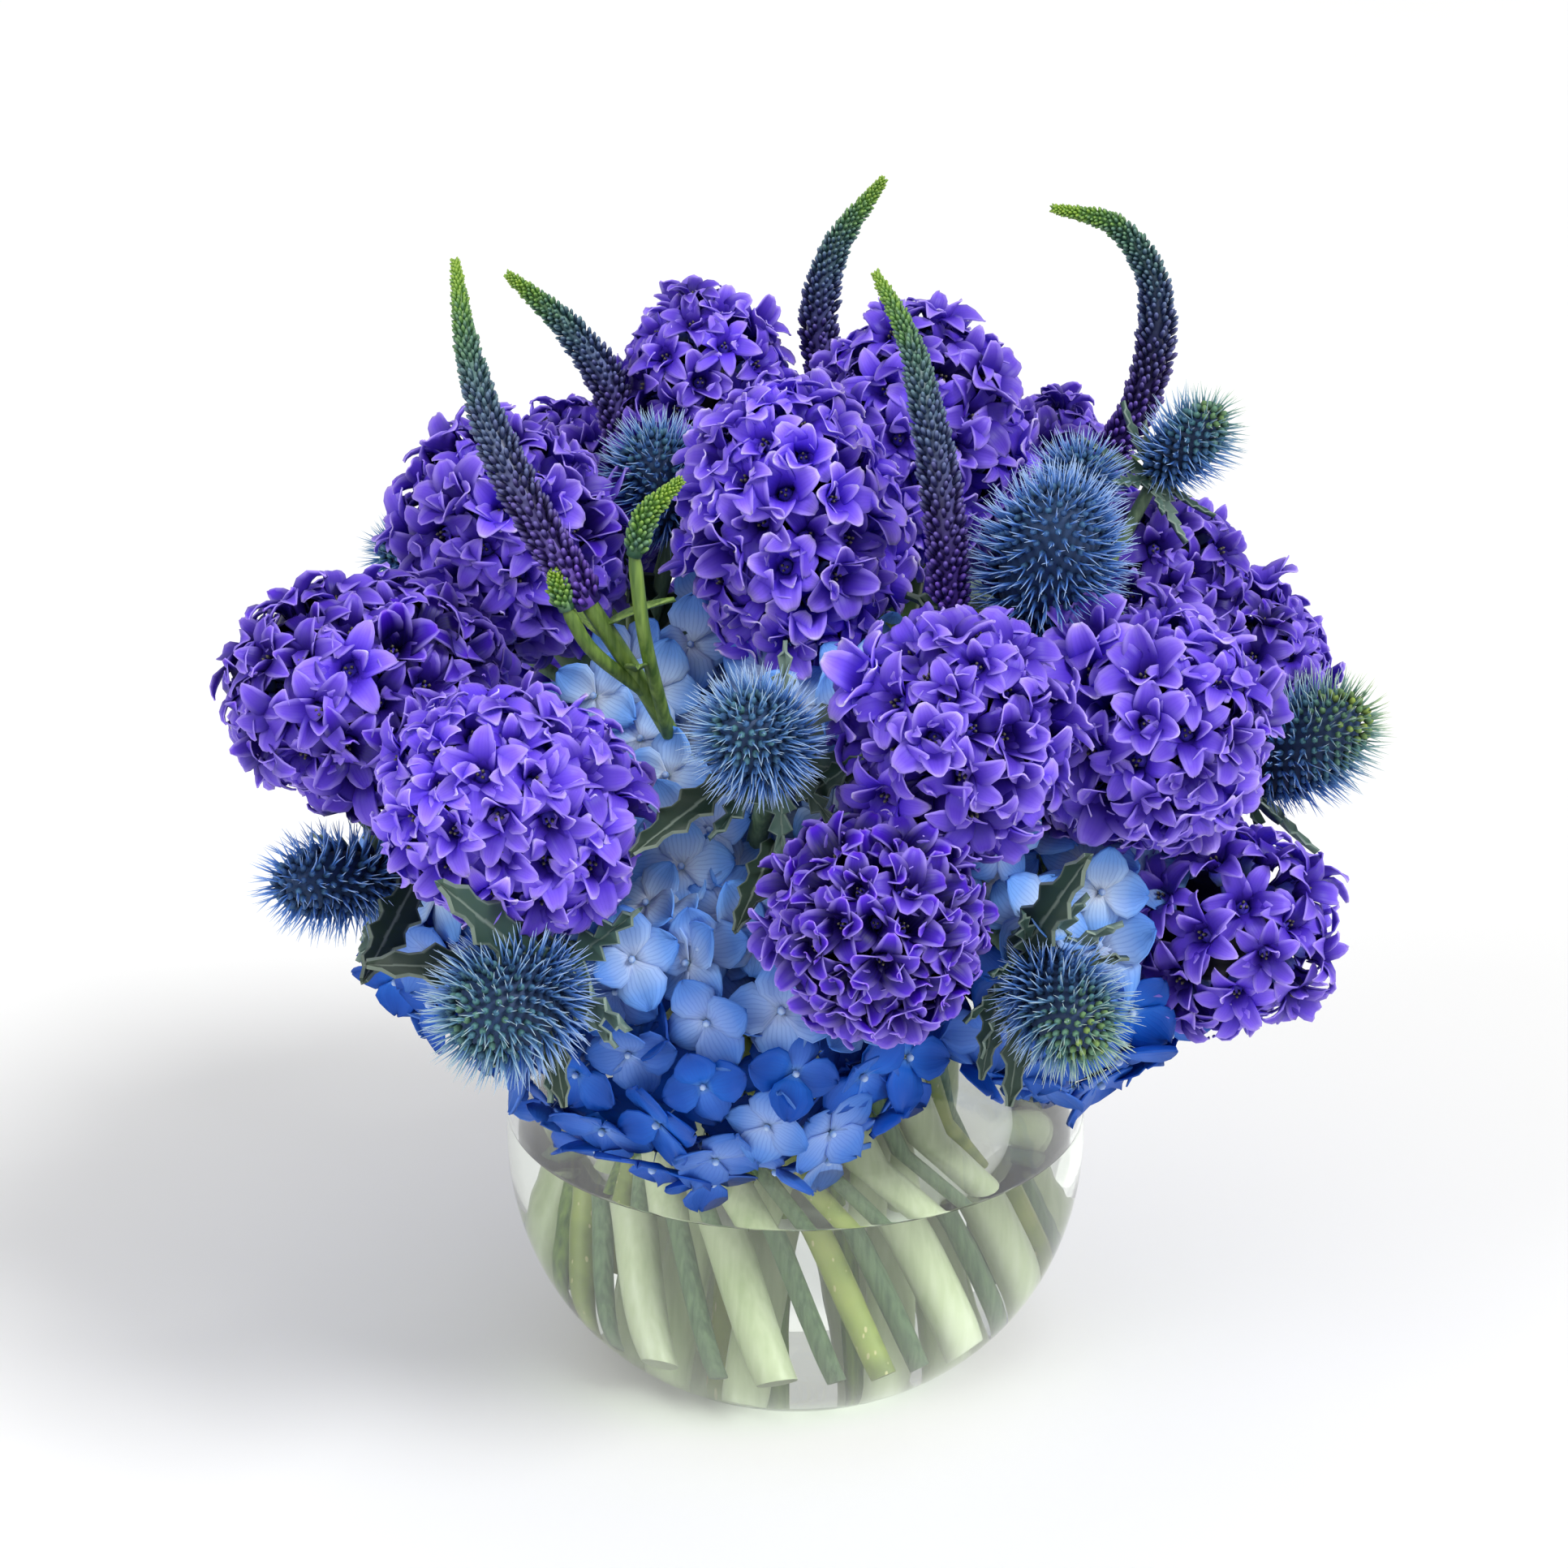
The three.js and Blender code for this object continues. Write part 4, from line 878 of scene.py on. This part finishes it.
def spike_copies(stem, spike, thickness, youngest):
    """The stalk of a shoot and the buds up its spike, whose shade starts at youngest, 0 violet to 1 green."""
    lengths = np.cumsum([0, *((b - a).length for a, b in zip(spike, spike[1:]))])
    radii = [SPEEDWELL_STEM * math.sqrt(thickness)] * (len(stem) - 1)
    radii += [SPEEDWELL_STEM * thickness * (1 - 0.7 * s / lengths[-1]) for s in lengths]
    stalk = shoot("speedwell_stalk", [*stem[:-1], *spike], radii, sides=10)
    copies = [(copied(stalk), Matrix(), 0.5)]
    girth = SPIKE_RADIUS * thickness - SPIKE_TIP
    swells = [SPIKE_TIP + girth * min(1, 1.7 * (1 - s / lengths[-1])) ** 0.8 for s in lengths]
    core = copied(shoot("speedwell_core", spike, [0.72 * swell for swell in swells], sides=10), finish=1)
    points, shades = core[0], core[6]
    for i, spot in enumerate(points):
        nearest = min(range(len(spike)), key=lambda k: (spike[k] * MM - Vector(spot)).length)
        shades[i] = youngest + (1 - youngest) * lengths[nearest] / lengths[-1]
    copies.append((core, Matrix(), 0.0))
    s = 0.5
    spin = 0.0
    while s < lengths[-1]:
        share = s / lengths[-1]
        i = min(int(np.searchsorted(lengths, s)), len(spike) - 1)
        middle = spike[i - 1].lerp(spike[i], (s - lengths[i - 1]) / (lengths[i] - lengths[i - 1]))
        forward = (spike[i] - spike[i - 1]).normalized()
        turn = forward.to_track_quat("Z", "Y").to_matrix()
        swell = float(np.interp(s, lengths, swells))
        size = (0.4 + 0.6 * (1 - share) ** 0.7) * (0.75 + 0.25 * thickness)
        side = turn @ Vector((math.cos(spin), math.sin(spin), 0))
        lean = side + forward * (1.2 + chance.uniform(-0.3, 0.3))
        reach = max(0.1, swell * 1.12 - BUD_LENGTH * size * 0.62)
        tone = min(1.0, max(0.0, youngest + (1 - youngest) * share + chance.uniform(-0.06, 0.06)))
        place = standing(middle + side * reach, lean, spin, size * chance.uniform(0.9, 1.15))
        copies.append((bud, place, tone))
        s += 0.2 * size
        spin += GOLDEN_TURN + chance.uniform(-0.08, 0.08)
    return copies


for name, (ring, at, spike, stem, shoots) in SPEEDWELLS.items():
    spike = [Vector(p) for p in spike]
    foot, neck = foot_and_neck(ring, at)
    stem = [foot, *smooth_line([neck, *(Vector(p) for p in stem), spike[0]], 8)]
    spike = smooth_line(spike, 7)
    stem_lines[f"speedwell_{name}"] = [*stem, *spike]
    copies = spike_copies(stem, spike, 1, 0.0)
    for k, (side_spike, side_stem) in enumerate(shoots):
        side_spike = [Vector(p) for p in side_spike]
        side_stem = smooth_line([*(Vector(p) for p in side_stem), side_spike[0]], 6)
        side_spike = smooth_line(side_spike, 6)
        stem_lines[f"speedwell_{name}_{k}"] = [*side_stem, *side_spike]
        copies += spike_copies(side_stem, side_spike, *SIDE_SHOOT)
    for k in range(3):
        spot = stem[-3 - 2 * k]
        way = Vector((math.cos(2.4 * k), math.sin(2.4 * k), 0.6))
        copies.append((leaflet, laid(spot, way, Vector((0, 0, 1))), 0.5))
    plant = planted(f"speedwell_{name}_plant", copies, [speedwell_stalk, speedwell_buds])
    finished(plant, "speedwell", f"speedwell_{name}")

# ---- Hydrangea mopheads ----
# Each head is a dome of open florets of four rounded, papery sepals round a bead of a true flower, each on a
# thin pale stalk. Four heads make the collar that hangs over the lip, and one fills the middle.

MOPHEAD = (46, 57, 46)  # half sizes outwards, sideways and up
MOPHEAD_LEAN = 35
MOPHEAD_FOOT = -38  # degrees below its widest part that its florets begin
MOPHEAD_SECTOR = 46  # degrees that each head keeps, to either side of the way it faces
CROWN = (46, 46, 52)
CROWN_FOOT = -12
FLORETS_ON_HEAD = 125
FLORETS_ON_CROWN = 84
LAYERS = ((0.93, 0.6), (0.76, 0.4))  # how far out each layer of florets stands, and its share of them
# Florets pale with height, partly in their own colour and partly as painted light against the shade of heads
# above.
DEEP_UP_TO, PALE_OVER = 122, 35  # the height where florets begin to pale, and the height that it takes them
# Cup, ruffle and phase of each kind of sepal.
SEPALS = ((0.7, 0.8, 0.4), (1.2, 1.0, 2.1), (0.0, 0.9, 3.6), (1.8, 0.6, 5.0), (-0.6, 0.8, 1.2))
SEPAL_LENGTH = 12.6
BLUE_FLORETS = 5  # that differ a little from each other
FLORET_STALK = 16
BESIDE_STEM = 5  # a floret keeps this clear of another flower's stem
RAISED = {
    # name: florets on longer stalks, which stand up between the flowers above
    "crown": (
        (-49, -28, 193), (-38, -35, 184), (-31, -46, 179), (-26, -14, 202), (-34, -22, 193), (-41, -15, 198),
        (-22, -4, 209), (14, -42, 203), (12, -52, 195), (21, -30, 203), (0, -42, 195), (-6, -32, 200),
    ),
    "front": (
        (-20, -66, 172), (-27, -74, 166), (-17, -82, 158), (-29, -60, 172), (-35, -82, 160),
        (-8, -86, 156), (-23, -90, 152), (-38, -94, 151), (36, -82, 168), (47, -76, 172),
    ),
    "right": ((58, -84, 158), (72, -70, 158)),
}

# Where the hyacinth heads are, so that the florets beside them keep clear.
for name, (ring, at, base, tip, radius, *_) in HYACINTHS.items():
    axis, _, middle, half = hyacinth_axis(base, tip)
    turn = axis.to_track_quat("Z", "Y").to_matrix()
    heads_in_the_way.append((f"hyacinth_{name}", middle, turn, radius, half))


def depth_in_heads(spot, own):
    """How deep a point is in the nearest other head: under 1 is inside it."""
    deepest = 9.0
    for name, middle, turn, radius, half in heads_in_the_way:
        if name != own:
            inside = turn.transposed() @ (spot - middle)
            depth = math.sqrt((inside.x**2 + inside.y**2) / radius**2 + inside.z**2 / half**2)
            deepest = min(deepest, depth)
    return deepest


def near_stem(spot, own, clear):
    """True where another flower's stem passes closer than clear."""
    for name, line in stem_lines.items():
        if name == own:
            continue
        for a, b in zip(line, line[1:]):
            ab = b - a
            t = min(1, max(0, (spot - a).dot(ab) / max(ab.length_squared, 1e-9)))
            if (spot - a - ab * t).length < clear:
                return True
    return False


def sepal_shape(cup, ruffle, phase):
    """A broad rounded sepal on a short claw, cupped across and ruffled at its edge."""

    def shape(u, v):
        v = 1 - (1 - v) ** 1.45
        wide = 6.7 * math.sin(math.pi * (0.03 + 0.95 * v) ** 0.88) ** 0.7 * min(1, 0.3 + 2.1 * v)
        lift = 0.4 + 2.4 * v * v * cup - 1.1 * v
        lift += cup * 1.1 * u * u * math.sin(math.pi * v) + ruffle * math.sin(4.2 * u + phase) * v
        return u * wide, 0.5 + SEPAL_LENGTH * v, lift

    return shape


def shaded_along(name, stops, roughness):
    """A smooth material whose colour runs from a piece's foot to its tip."""
    material = material_named(name)
    _, along = own_place(material)
    shaded = add(material, "ValToRGB", {"Fac": along}, stops)
    surface = add(material, "BsdfPrincipled", {"Base Color": shaded, "Roughness": roughness})
    add(material, "OutputMaterial", {"Surface": surface})
    return material


# Sepals: papery and matt, azure to lilac blue with a pale heart, and darker veins that fan out from the claw.
# The veins are drawn 0.25 mm wide, broader than life, so that they show.
hydrangea_sepal = material_named("hydrangea_sepal")
across, along = own_place(hydrangea_sepal)
azure = toned(
    hydrangea_sepal,
    along,
    [(0.0, "#5F9AE8"), (1.0, "#02409C"), (0.12, "#1464CE"), (0.45, "#0250B8")],
    [(0.0, "#E8F0FA"), (1.0, "#5A9AF2"), (0.2, "#BEDAFC"), (0.55, "#80B4FA")],
)
fan = fine_lines(hydrangea_sepal, across, 66.0, 0.3, 0.2)
veined = add(hydrangea_sepal, "Mix", {0: fan, 6: azure, 7: linear("#1A49B4")}, data_type="RGBA")
place = add(hydrangea_sepal, "TexCoord").outputs["Object"]
mottle = add(hydrangea_sepal, "TexNoise", {"Vector": place, "Scale": 90.0, "Detail": 2.0})
lilac = add(hydrangea_sepal, "MapRange", {0: mottle, 1: 0.52, 2: 0.75, 3: 0.0, 4: 0.16})
tinged = add(hydrangea_sepal, "Mix", {0: lilac, 6: veined, 7: linear("#5F82E6")}, data_type="RGBA")
raised = add(hydrangea_sepal, "Bump", {"Height": fan, "Strength": 0.3, "Distance": 0.0003})
surface = add(
    hydrangea_sepal,
    "BsdfPrincipled",
    {"Base Color": tinged, "Roughness": 0.55, "Specular IOR Level": 0.3, "Normal": raised},
)
add(hydrangea_sepal, "OutputMaterial", {"Surface": surface})

# The bead and the floret's stalk: pale, smooth, blue-white turning green towards the stem.
bead_tones = [(0.0, "#9DB58A"), (1.0, "#AFC6EA"), (0.6, "#7FA3DC")]
hydrangea_bead = shaded_along("hydrangea_bead_and_stalk", bead_tones, 0.45)

sepals = [copied(blade("sepal", 4, 5, sepal_shape(*kind), 0.4)) for kind in SEPALS]
heart_bead = copied(grain("hydrangea_bead", 1.05, 2.2), finish=1)
thread = copied(slim("hydrangea_floret_stalk", 4, 0.6, FLORET_STALK), finish=1)

blue_florets = []
for _ in range(BLUE_FLORETS):
    copies = [(heart_bead, Matrix.Translation((0, 0, 0.0003)), 0.0)]
    copies.append((thread, Matrix.Translation((0, 0, -0.0155)), 0.0))
    for k in range(4):
        spin = Matrix.Rotation(math.pi / 2 * k + chance.uniform(-0.12, 0.12), 4, "Z")
        tilt = Matrix.Rotation(chance.uniform(-0.25, 0.35), 4, "X")
        drop = Matrix.Translation((0, 0, -0.0004 * (k % 2)))
        size = Matrix.Scale(chance.uniform(0.85, 1.1), 4)
        copies.append((chance.choice(sepals), spin @ drop @ tilt @ size, chance.uniform(-0.07, 0.07)))
    blue_florets.append(copied(planted("blue_floret", copies)))


def mophead(name, sizes, middle, lean, facing, count, lowest, kept):
    """The florets of one head where it isn't hidden or taken up, in an outer layer and an inner one darkened by
    painted shade.
    """
    own = f"hydrangea_{name}"
    turn = Matrix.Rotation(math.radians(facing), 3, "Z")
    tip_over = Matrix.Rotation(math.radians(90 - lean) if lean else 0, 3, "Y")
    copies = []
    for layer, (level, share_of_florets) in enumerate(LAYERS):
        for way, _ in spread(round(count * share_of_florets), lowest):
            way = tip_over @ way
            spot = middle + turn @ Vector([way[i] * sizes[i] * level for i in range(3)])
            outward = turn @ Vector([way[i] / sizes[i] for i in range(3)]).normalized()
            if not kept(spot) or depth_in_heads(spot, own) < 0.9 or near_stem(spot, own, BESIDE_STEM):
                continue
            outward += astray(0.4)
            # Painted light: florets pale with height, partly in their own colour and partly against the shade
            # of heads above.
            tone = 0.05 + 0.9 * min(1, max(0, (spot.z - DEEP_UP_TO) / PALE_OVER)) + chance.gauss(0, 0.2)
            # Painted shade: the inner layer is darker.
            tone = min(1.0, max(0.0, tone)) - 0.15 * layer
            size = chance.uniform(0.82, 1.14)
            floret = chance.choice(blue_florets)
            copies.append((floret, standing(spot, outward, chance.uniform(0, ROUND), size), tone))
    for spot in RAISED.get(name, ()):
        spot = Vector(spot)
        below = middle + Vector((0, 0, 0.3 * sizes[2])) - spot
        outward = Vector((spot.x / 90, -1, 0.6)) + astray(0.35)
        stalk = standing(spot + below * 0.8, -below, 0, below.length * 0.8 / FLORET_STALK)
        copies.append((thread, stalk, 0.0))
        # Painted light: a raised floret is paler, partly its own colour and partly against the shade of the
        # flowers above.
        floret = chance.choice(blue_florets)
        place = standing(spot, outward, chance.uniform(0, ROUND), 0.92)
        copies.append((floret, place, chance.uniform(0.65, 1.1)))
    return copies


def outside_bowl(spot, clear):
    """True where a floret is clear of the glass."""
    r = math.hypot(spot.x, spot.y)
    if spot.z < BELLY or spot.z > BOWL_HEIGHT + clear:
        return spot.z > BELLY or r > BOWL_RADIUS
    return r > bowl_radius(min(spot.z, BOWL_HEIGHT)) + clear


for name, (at, facing, out, height) in HYDRANGEAS.items():

    def on_collar(spot):
        r = math.hypot(spot.x, spot.y)
        off = (math.degrees(math.atan2(spot.y, spot.x)) - facing + 180) % 360 - 180
        inner = float(np.interp(spot.z, [128, 180], [48, 68]))
        return abs(off) < MOPHEAD_SECTOR and r > inner and outside_bowl(spot, 4.5)

    middle = polar(out, facing, height)
    copies = mophead(name, MOPHEAD, middle, MOPHEAD_LEAN, facing, FLORETS_ON_HEAD, MOPHEAD_FOOT, on_collar)
    bloom = planted(f"hydrangea_{name}_head", copies, [hydrangea_sepal, hydrangea_bead])
    finished(bloom, "hydrangea_sepal", f"hydrangea_{name}_bloom")


def in_crown(spot):
    inner = float(np.interp(spot.z, [128, 205], [35, 52]))
    return math.hypot(spot.x, spot.y) < inner and spot.z > BOWL_HEIGHT + 8


middle = Vector((0, 0, CROWN_HEIGHT))
copies = mophead("crown", CROWN, middle, 0, 0, FLORETS_ON_CROWN, CROWN_FOOT, in_crown)
bloom = planted("hydrangea_crown_head", copies, [hydrangea_sepal, hydrangea_bead])
finished(bloom, "hydrangea_sepal", "hydrangea_crown_bloom")

# ---- Hyacinth heads ----
# Double hyacinths: forty to seventy waxy bells crowd round each stalk. A bell is a short tube that opens
# into six tepals, some with more inside, and the tepals roll back at the tip, with a painted highlight
# along the edge.

# Flare in degrees, half width, cup and roll in degrees of each kind of tepal.
STARRY = ((95, 3.0, 0.5, 45), (78, 3.2, 0.9, 80), (108, 2.9, 0.3, 20), (66, 3.1, 1.1, 100))
CUPPED = ((50, 4.0, 1.6, 30), (64, 4.3, 1.3, 55), (40, 3.9, 1.8, 15), (80, 4.1, 0.9, 60))
INNER = ((30, 2.4, 0.9, 20), (48, 2.4, 0.9, 60))
TEPAL_LENGTH = 13.5
INNER_TEPAL = 9.5
BELL_DEPTH = 5  # how far below its mouth a bell's tepals part
THROAT = 12  # degrees that its tepals open there
FULL_HEAD = 29  # radius of a head whose bells are full-grown
HEAD_FOOT = -62  # degrees below its widest part that a head's bells begin
DOUBLED = (0, 2, 3, 4, 3)  # tepals inside the outer six, in the five bells of each kind


def tepal_shape(flare, wide, cup, roll, roundness, length=TEPAL_LENGTH):
    """A tepal that runs out of the tube, opens outwards and rolls back at its tip. Angles are in degrees."""

    def shape(u, v):
        v = 1 - (1 - v) ** 1.35
        steps = 24
        r, z = 2.0, -BELL_DEPTH
        angle = 0.0
        for i in range(round(v * steps)):
            t = (i + 0.5) / steps
            opened = min(1, t / 0.75)
            rolled = max(0, (t - 0.6) / 0.4)
            opening = (flare - THROAT) * opened**2 * (3 - 2 * opened)
            angle = math.radians(THROAT + opening + roll * rolled**2)
            r += length / steps * math.sin(angle)
            z += length / steps * math.cos(angle)
        half = wide * math.sin(math.pi * (0.13 + 0.85 * v**1.15)) ** roundness
        forward = cup * u * u * (0.3 + 0.8 * math.sin(math.pi * v)) + 0.3 * u * math.sin(6 * v + flare)
        return u * half, r - forward * math.cos(angle), z + forward * math.sin(angle)

    return shape


# Tepals: waxy with a soft sheen, saturated violet, with a grain of faint lines. Their near black-violet throat
# is painted shade, their lavender towards the tip is partly their own colour and partly a painted highlight,
# and their lavender edge is a painted highlight.
hyacinth_tepal = material_named("hyacinth_tepal")
across, along = own_place(hyacinth_tepal)
violet = toned(
    hyacinth_tepal,
    along,
    [(0.0, "#05021A"), (1.0, "#9468F6"), (0.4, "#16055C"), (0.7, "#3A10AE"), (0.9, "#5A2AD8")],
    [(0.0, "#200F7C"), (1.0, "#E2D8FF"), (0.35, "#5C3AE0"), (0.65, "#8C6AFF"), (0.88, "#B49AFF")],
)
outwards = off_midrib(hyacinth_tepal, across)
# Painted highlight: a lavender rim along the edge of the outer part of each tepal.
edge = add(hyacinth_tepal, "MapRange", {0: outwards, 1: 0.25, 2: 0.5, 3: 0.0, 4: 0.5})
outer_part = add(hyacinth_tepal, "MapRange", {0: along, 1: 0.35, 2: 0.65, 3: 0.0, 4: 1.0})
rim = add(hyacinth_tepal, "Math", {0: edge, 1: outer_part}, operation="MULTIPLY")
rim_highlighted = add(hyacinth_tepal, "Mix", {0: rim, 6: violet, 7: linear("#BCA8FF")}, data_type="RGBA")
faint = fine_lines(hyacinth_tepal, across, 44.0, 0.0, 0.1)
lined = add(hyacinth_tepal, "Mix", {0: faint, 6: rim_highlighted, 7: linear("#3A1BB8")}, data_type="RGBA")
raised = add(hyacinth_tepal, "Bump", {"Height": faint, "Strength": 0.35, "Distance": 0.0004})
surface = add(
    hyacinth_tepal,
    "BsdfPrincipled",
    {"Base Color": lined, "Roughness": 0.45, "Specular IOR Level": 0.28, "Normal": raised},
)
add(hyacinth_tepal, "OutputMaterial", {"Surface": surface})

# The tube: fleshy and bluer than the tepals, green-white where it joins the stalk.
tube_tones = [(0.0, "#9DB98A"), (1.0, "#4A2BC4"), (0.3, "#7C96D8"), (0.7, "#5A55DC")]
hyacinth_tube = shaded_along("hyacinth_tube", tube_tones, 0.4)

# The heart: dark anthers with a little olive pollen at their tips.
anther_tones = [(0.0, "#171233"), (1.0, "#6E6A4C"), (0.6, "#231C3E")]
hyacinth_heart = shaded_along("hyacinth_anthers", anther_tones, 0.6)

starry_tepals = [copied(blade("starry_tepal", 4, 6, tepal_shape(*kind, 0.85), 0.3)) for kind in STARRY]
cupped_tepals = [copied(blade("cupped_tepal", 4, 6, tepal_shape(*kind, 0.5), 0.3)) for kind in CUPPED]
inner_tepals = [
    copied(blade("inner_tepal", 2, 5, tepal_shape(*kind, 0.6, INNER_TEPAL), 0.3)) for kind in INNER
]
tube = copied(slim("hyacinth_tube", 6, 1.3, 13), finish=1)
bell_wall = copied(grain("hyacinth_bell_wall", 2.6, 8), finish=1)
anther = copied(grain("hyacinth_anther", 0.55, 2.4, segments=4, rings=3), finish=2)
# Painted shade: a dark egg in each head, coloured like the throat, stands for the shade deep between the bells.
painted_shade_core = copied(grain("hyacinth_core", 1, 2, segments=16, rings=10))
painted_shade_core[5][:] = 0  # all of it takes the dark of the throat

starry_bells, cupped_bells = [], []
for variant in range(2 * len(DOUBLED)):
    tepals, family = ((starry_tepals, starry_bells), (cupped_tepals, cupped_bells))[variant % 2]
    copies = [(bell_wall, Matrix.Translation((0, 0, -0.0105)), 0.0)]
    copies.append((tube, Matrix.Translation((0, 0, -0.019)), 0.0))
    nod = chance.uniform(-0.15, 0.15)
    for k in range(6):
        spin = Matrix.Rotation(math.pi / 3 * k + chance.uniform(-0.14, 0.14), 4, "Z")
        tilt = Matrix.Rotation(nod * (-1) ** k + chance.uniform(-0.14, 0.14), 4, "X")
        twist = Matrix.Rotation(chance.uniform(-0.3, 0.3), 4, "Y")
        size = Matrix.Scale(chance.uniform(0.9, 1.08) * (1 if k % 2 else 0.94), 4)
        copies.append((chance.choice(tepals), spin @ tilt @ twist @ size, chance.uniform(-0.12, 0.12)))
    doubled = DOUBLED[variant // 2]
    for k in range(doubled):
        spin = Matrix.Rotation(2 * math.pi / doubled * k + 0.5 + chance.uniform(-0.3, 0.3), 4, "Z")
        tilt = Matrix.Rotation(chance.uniform(-0.25, 0.2), 4, "X")
        twist = Matrix.Rotation(chance.uniform(-0.4, 0.4), 4, "Y")
        copies.append((chance.choice(inner_tepals), spin @ tilt @ twist, chance.uniform(-0.1, 0.05)))
    for k in range(3):
        lean = Matrix.Rotation(2.1 * k, 4, "Z") @ Matrix.Translation((0.0008, 0, -0.003))
        copies.append((anther, lean, 0.0))
    family.append(copied(planted("hyacinth_bell", copies)))

for name, (ring, at, base, tip, radius, count, shade, cupped) in HYACINTHS.items():
    own = f"hyacinth_{name}"
    axis, _, middle, half = hyacinth_axis(base, tip)
    turn = axis.to_track_quat("Z", "Y").to_matrix() @ Matrix.Rotation(chance.uniform(0, ROUND), 3, "Z")
    size = radius / FULL_HEAD
    wide, long = radius - 4 * size, half - 4 * size
    core = Matrix.Diagonal((0.55 * wide, 0.55 * wide, 0.62 * long, 1))
    copies = [(painted_shade_core, standing(middle - axis * 0.62 * long, axis) @ core, 0.0)]
    for way, share in spread(count, HEAD_FOOT):
        outward = turn @ Vector((way.x / wide, way.y / wide, way.z / long)).normalized()
        spot = middle + turn @ Vector((way.x * wide, way.y * wide, way.z * long))
        spot = spot + outward * chance.uniform(-3, 1.5)
        if depth_in_heads(spot, own) < 0.86 or near_stem(spot + outward * 2, own, BESIDE_STEM):
            continue
        outward += astray(0.28) + axis * 0.12
        bell_size = size * chance.uniform(0.9, 1.1) * (1 - 0.12 * max(0, share - 0.75) / 0.25)
        family = cupped_bells if chance.random() < cupped else starry_bells
        tone = min(1.0, max(0.0, shade + chance.gauss(0, 0.2)))
        bell = chance.choice(family)
        copies.append((bell, standing(spot, outward, chance.uniform(0, ROUND), bell_size), tone))
    bloom = planted(f"hyacinth_{name}_head", copies, [hyacinth_tepal, hyacinth_tube, hyacinth_heart])
    finished(bloom, "hyacinth_petal", f"hyacinth_{name}_bloom")

# ---- Table, light and camera ----
# A plain white table that runs out of view, and soft studio light: a large lamp high on the right and a weak
# one opposite.

bpy.ops.object.select_all(action="DESELECT")
bpy.ops.mesh.primitive_plane_add(size=8)
table = bpy.context.object
table.name = "white_table"
white = material_named("matt_white_table")
place = add(white, "TexCoord").outputs["Object"]
dust = add(white, "TexNoise", {"Vector": place, "Scale": 3.0, "Detail": 2.0})
matt = add(white, "ValToRGB", {"Fac": dust}, [(0.0, "#F6F6F5"), (1.0, "#FBFBFA")])
surface = add(white, "BsdfPrincipled", {"Base Color": matt, "Roughness": 0.7, "Specular IOR Level": 0.2})
add(white, "OutputMaterial", {"Surface": surface})
table.data.materials.append(white)

sky = bpy.data.worlds.new("studio")
bpy.context.scene.world = sky
sky.use_nodes = True
sky.node_tree.nodes["Background"].inputs["Color"].default_value = linear("#FFFFFF")
sky.node_tree.nodes["Background"].inputs["Strength"].default_value = 0.62

sun = bpy.data.lights.new("key", "SUN")
sun.angle = math.radians(22)
sun.energy = 1.95
fill = bpy.data.lights.new("fill", "AREA")
fill.size = 1.6
fill.energy = 32
for lamp, spot in ((sun, (2.2, -1.8, 3.2)), (fill, (-2.2, -2.0, 1.8))):
    held = bpy.data.objects.new(lamp.name, lamp)
    bpy.context.collection.objects.link(held)
    held.location = spot
    held.rotation_euler = (Vector((0, 0, 0.15)) - Vector(spot)).to_track_quat("-Z", "Y").to_euler()

DISTANCE = 0.95
LOOK_DOWN = math.radians(20)
SENSOR = 36
PHOTO_WIDTH = 1932
FOCAL_LENGTH = 4586  # in the photograph's pixels
look_at = Vector((-0.003, 0, 0.16))
lens = bpy.data.cameras.new("camera")
lens.sensor_width = SENSOR
lens.lens = SENSOR * FOCAL_LENGTH / PHOTO_WIDTH
camera = bpy.data.objects.new("camera", lens)
bpy.context.collection.objects.link(camera)
forward = Vector((0, math.cos(LOOK_DOWN), -math.sin(LOOK_DOWN)))
camera.location = look_at - forward * DISTANCE
camera.rotation_euler = forward.to_track_quat("-Z", "Y").to_euler()
bpy.context.scene.camera = camera
bpy.context.scene.view_settings.view_transform = "Standard"
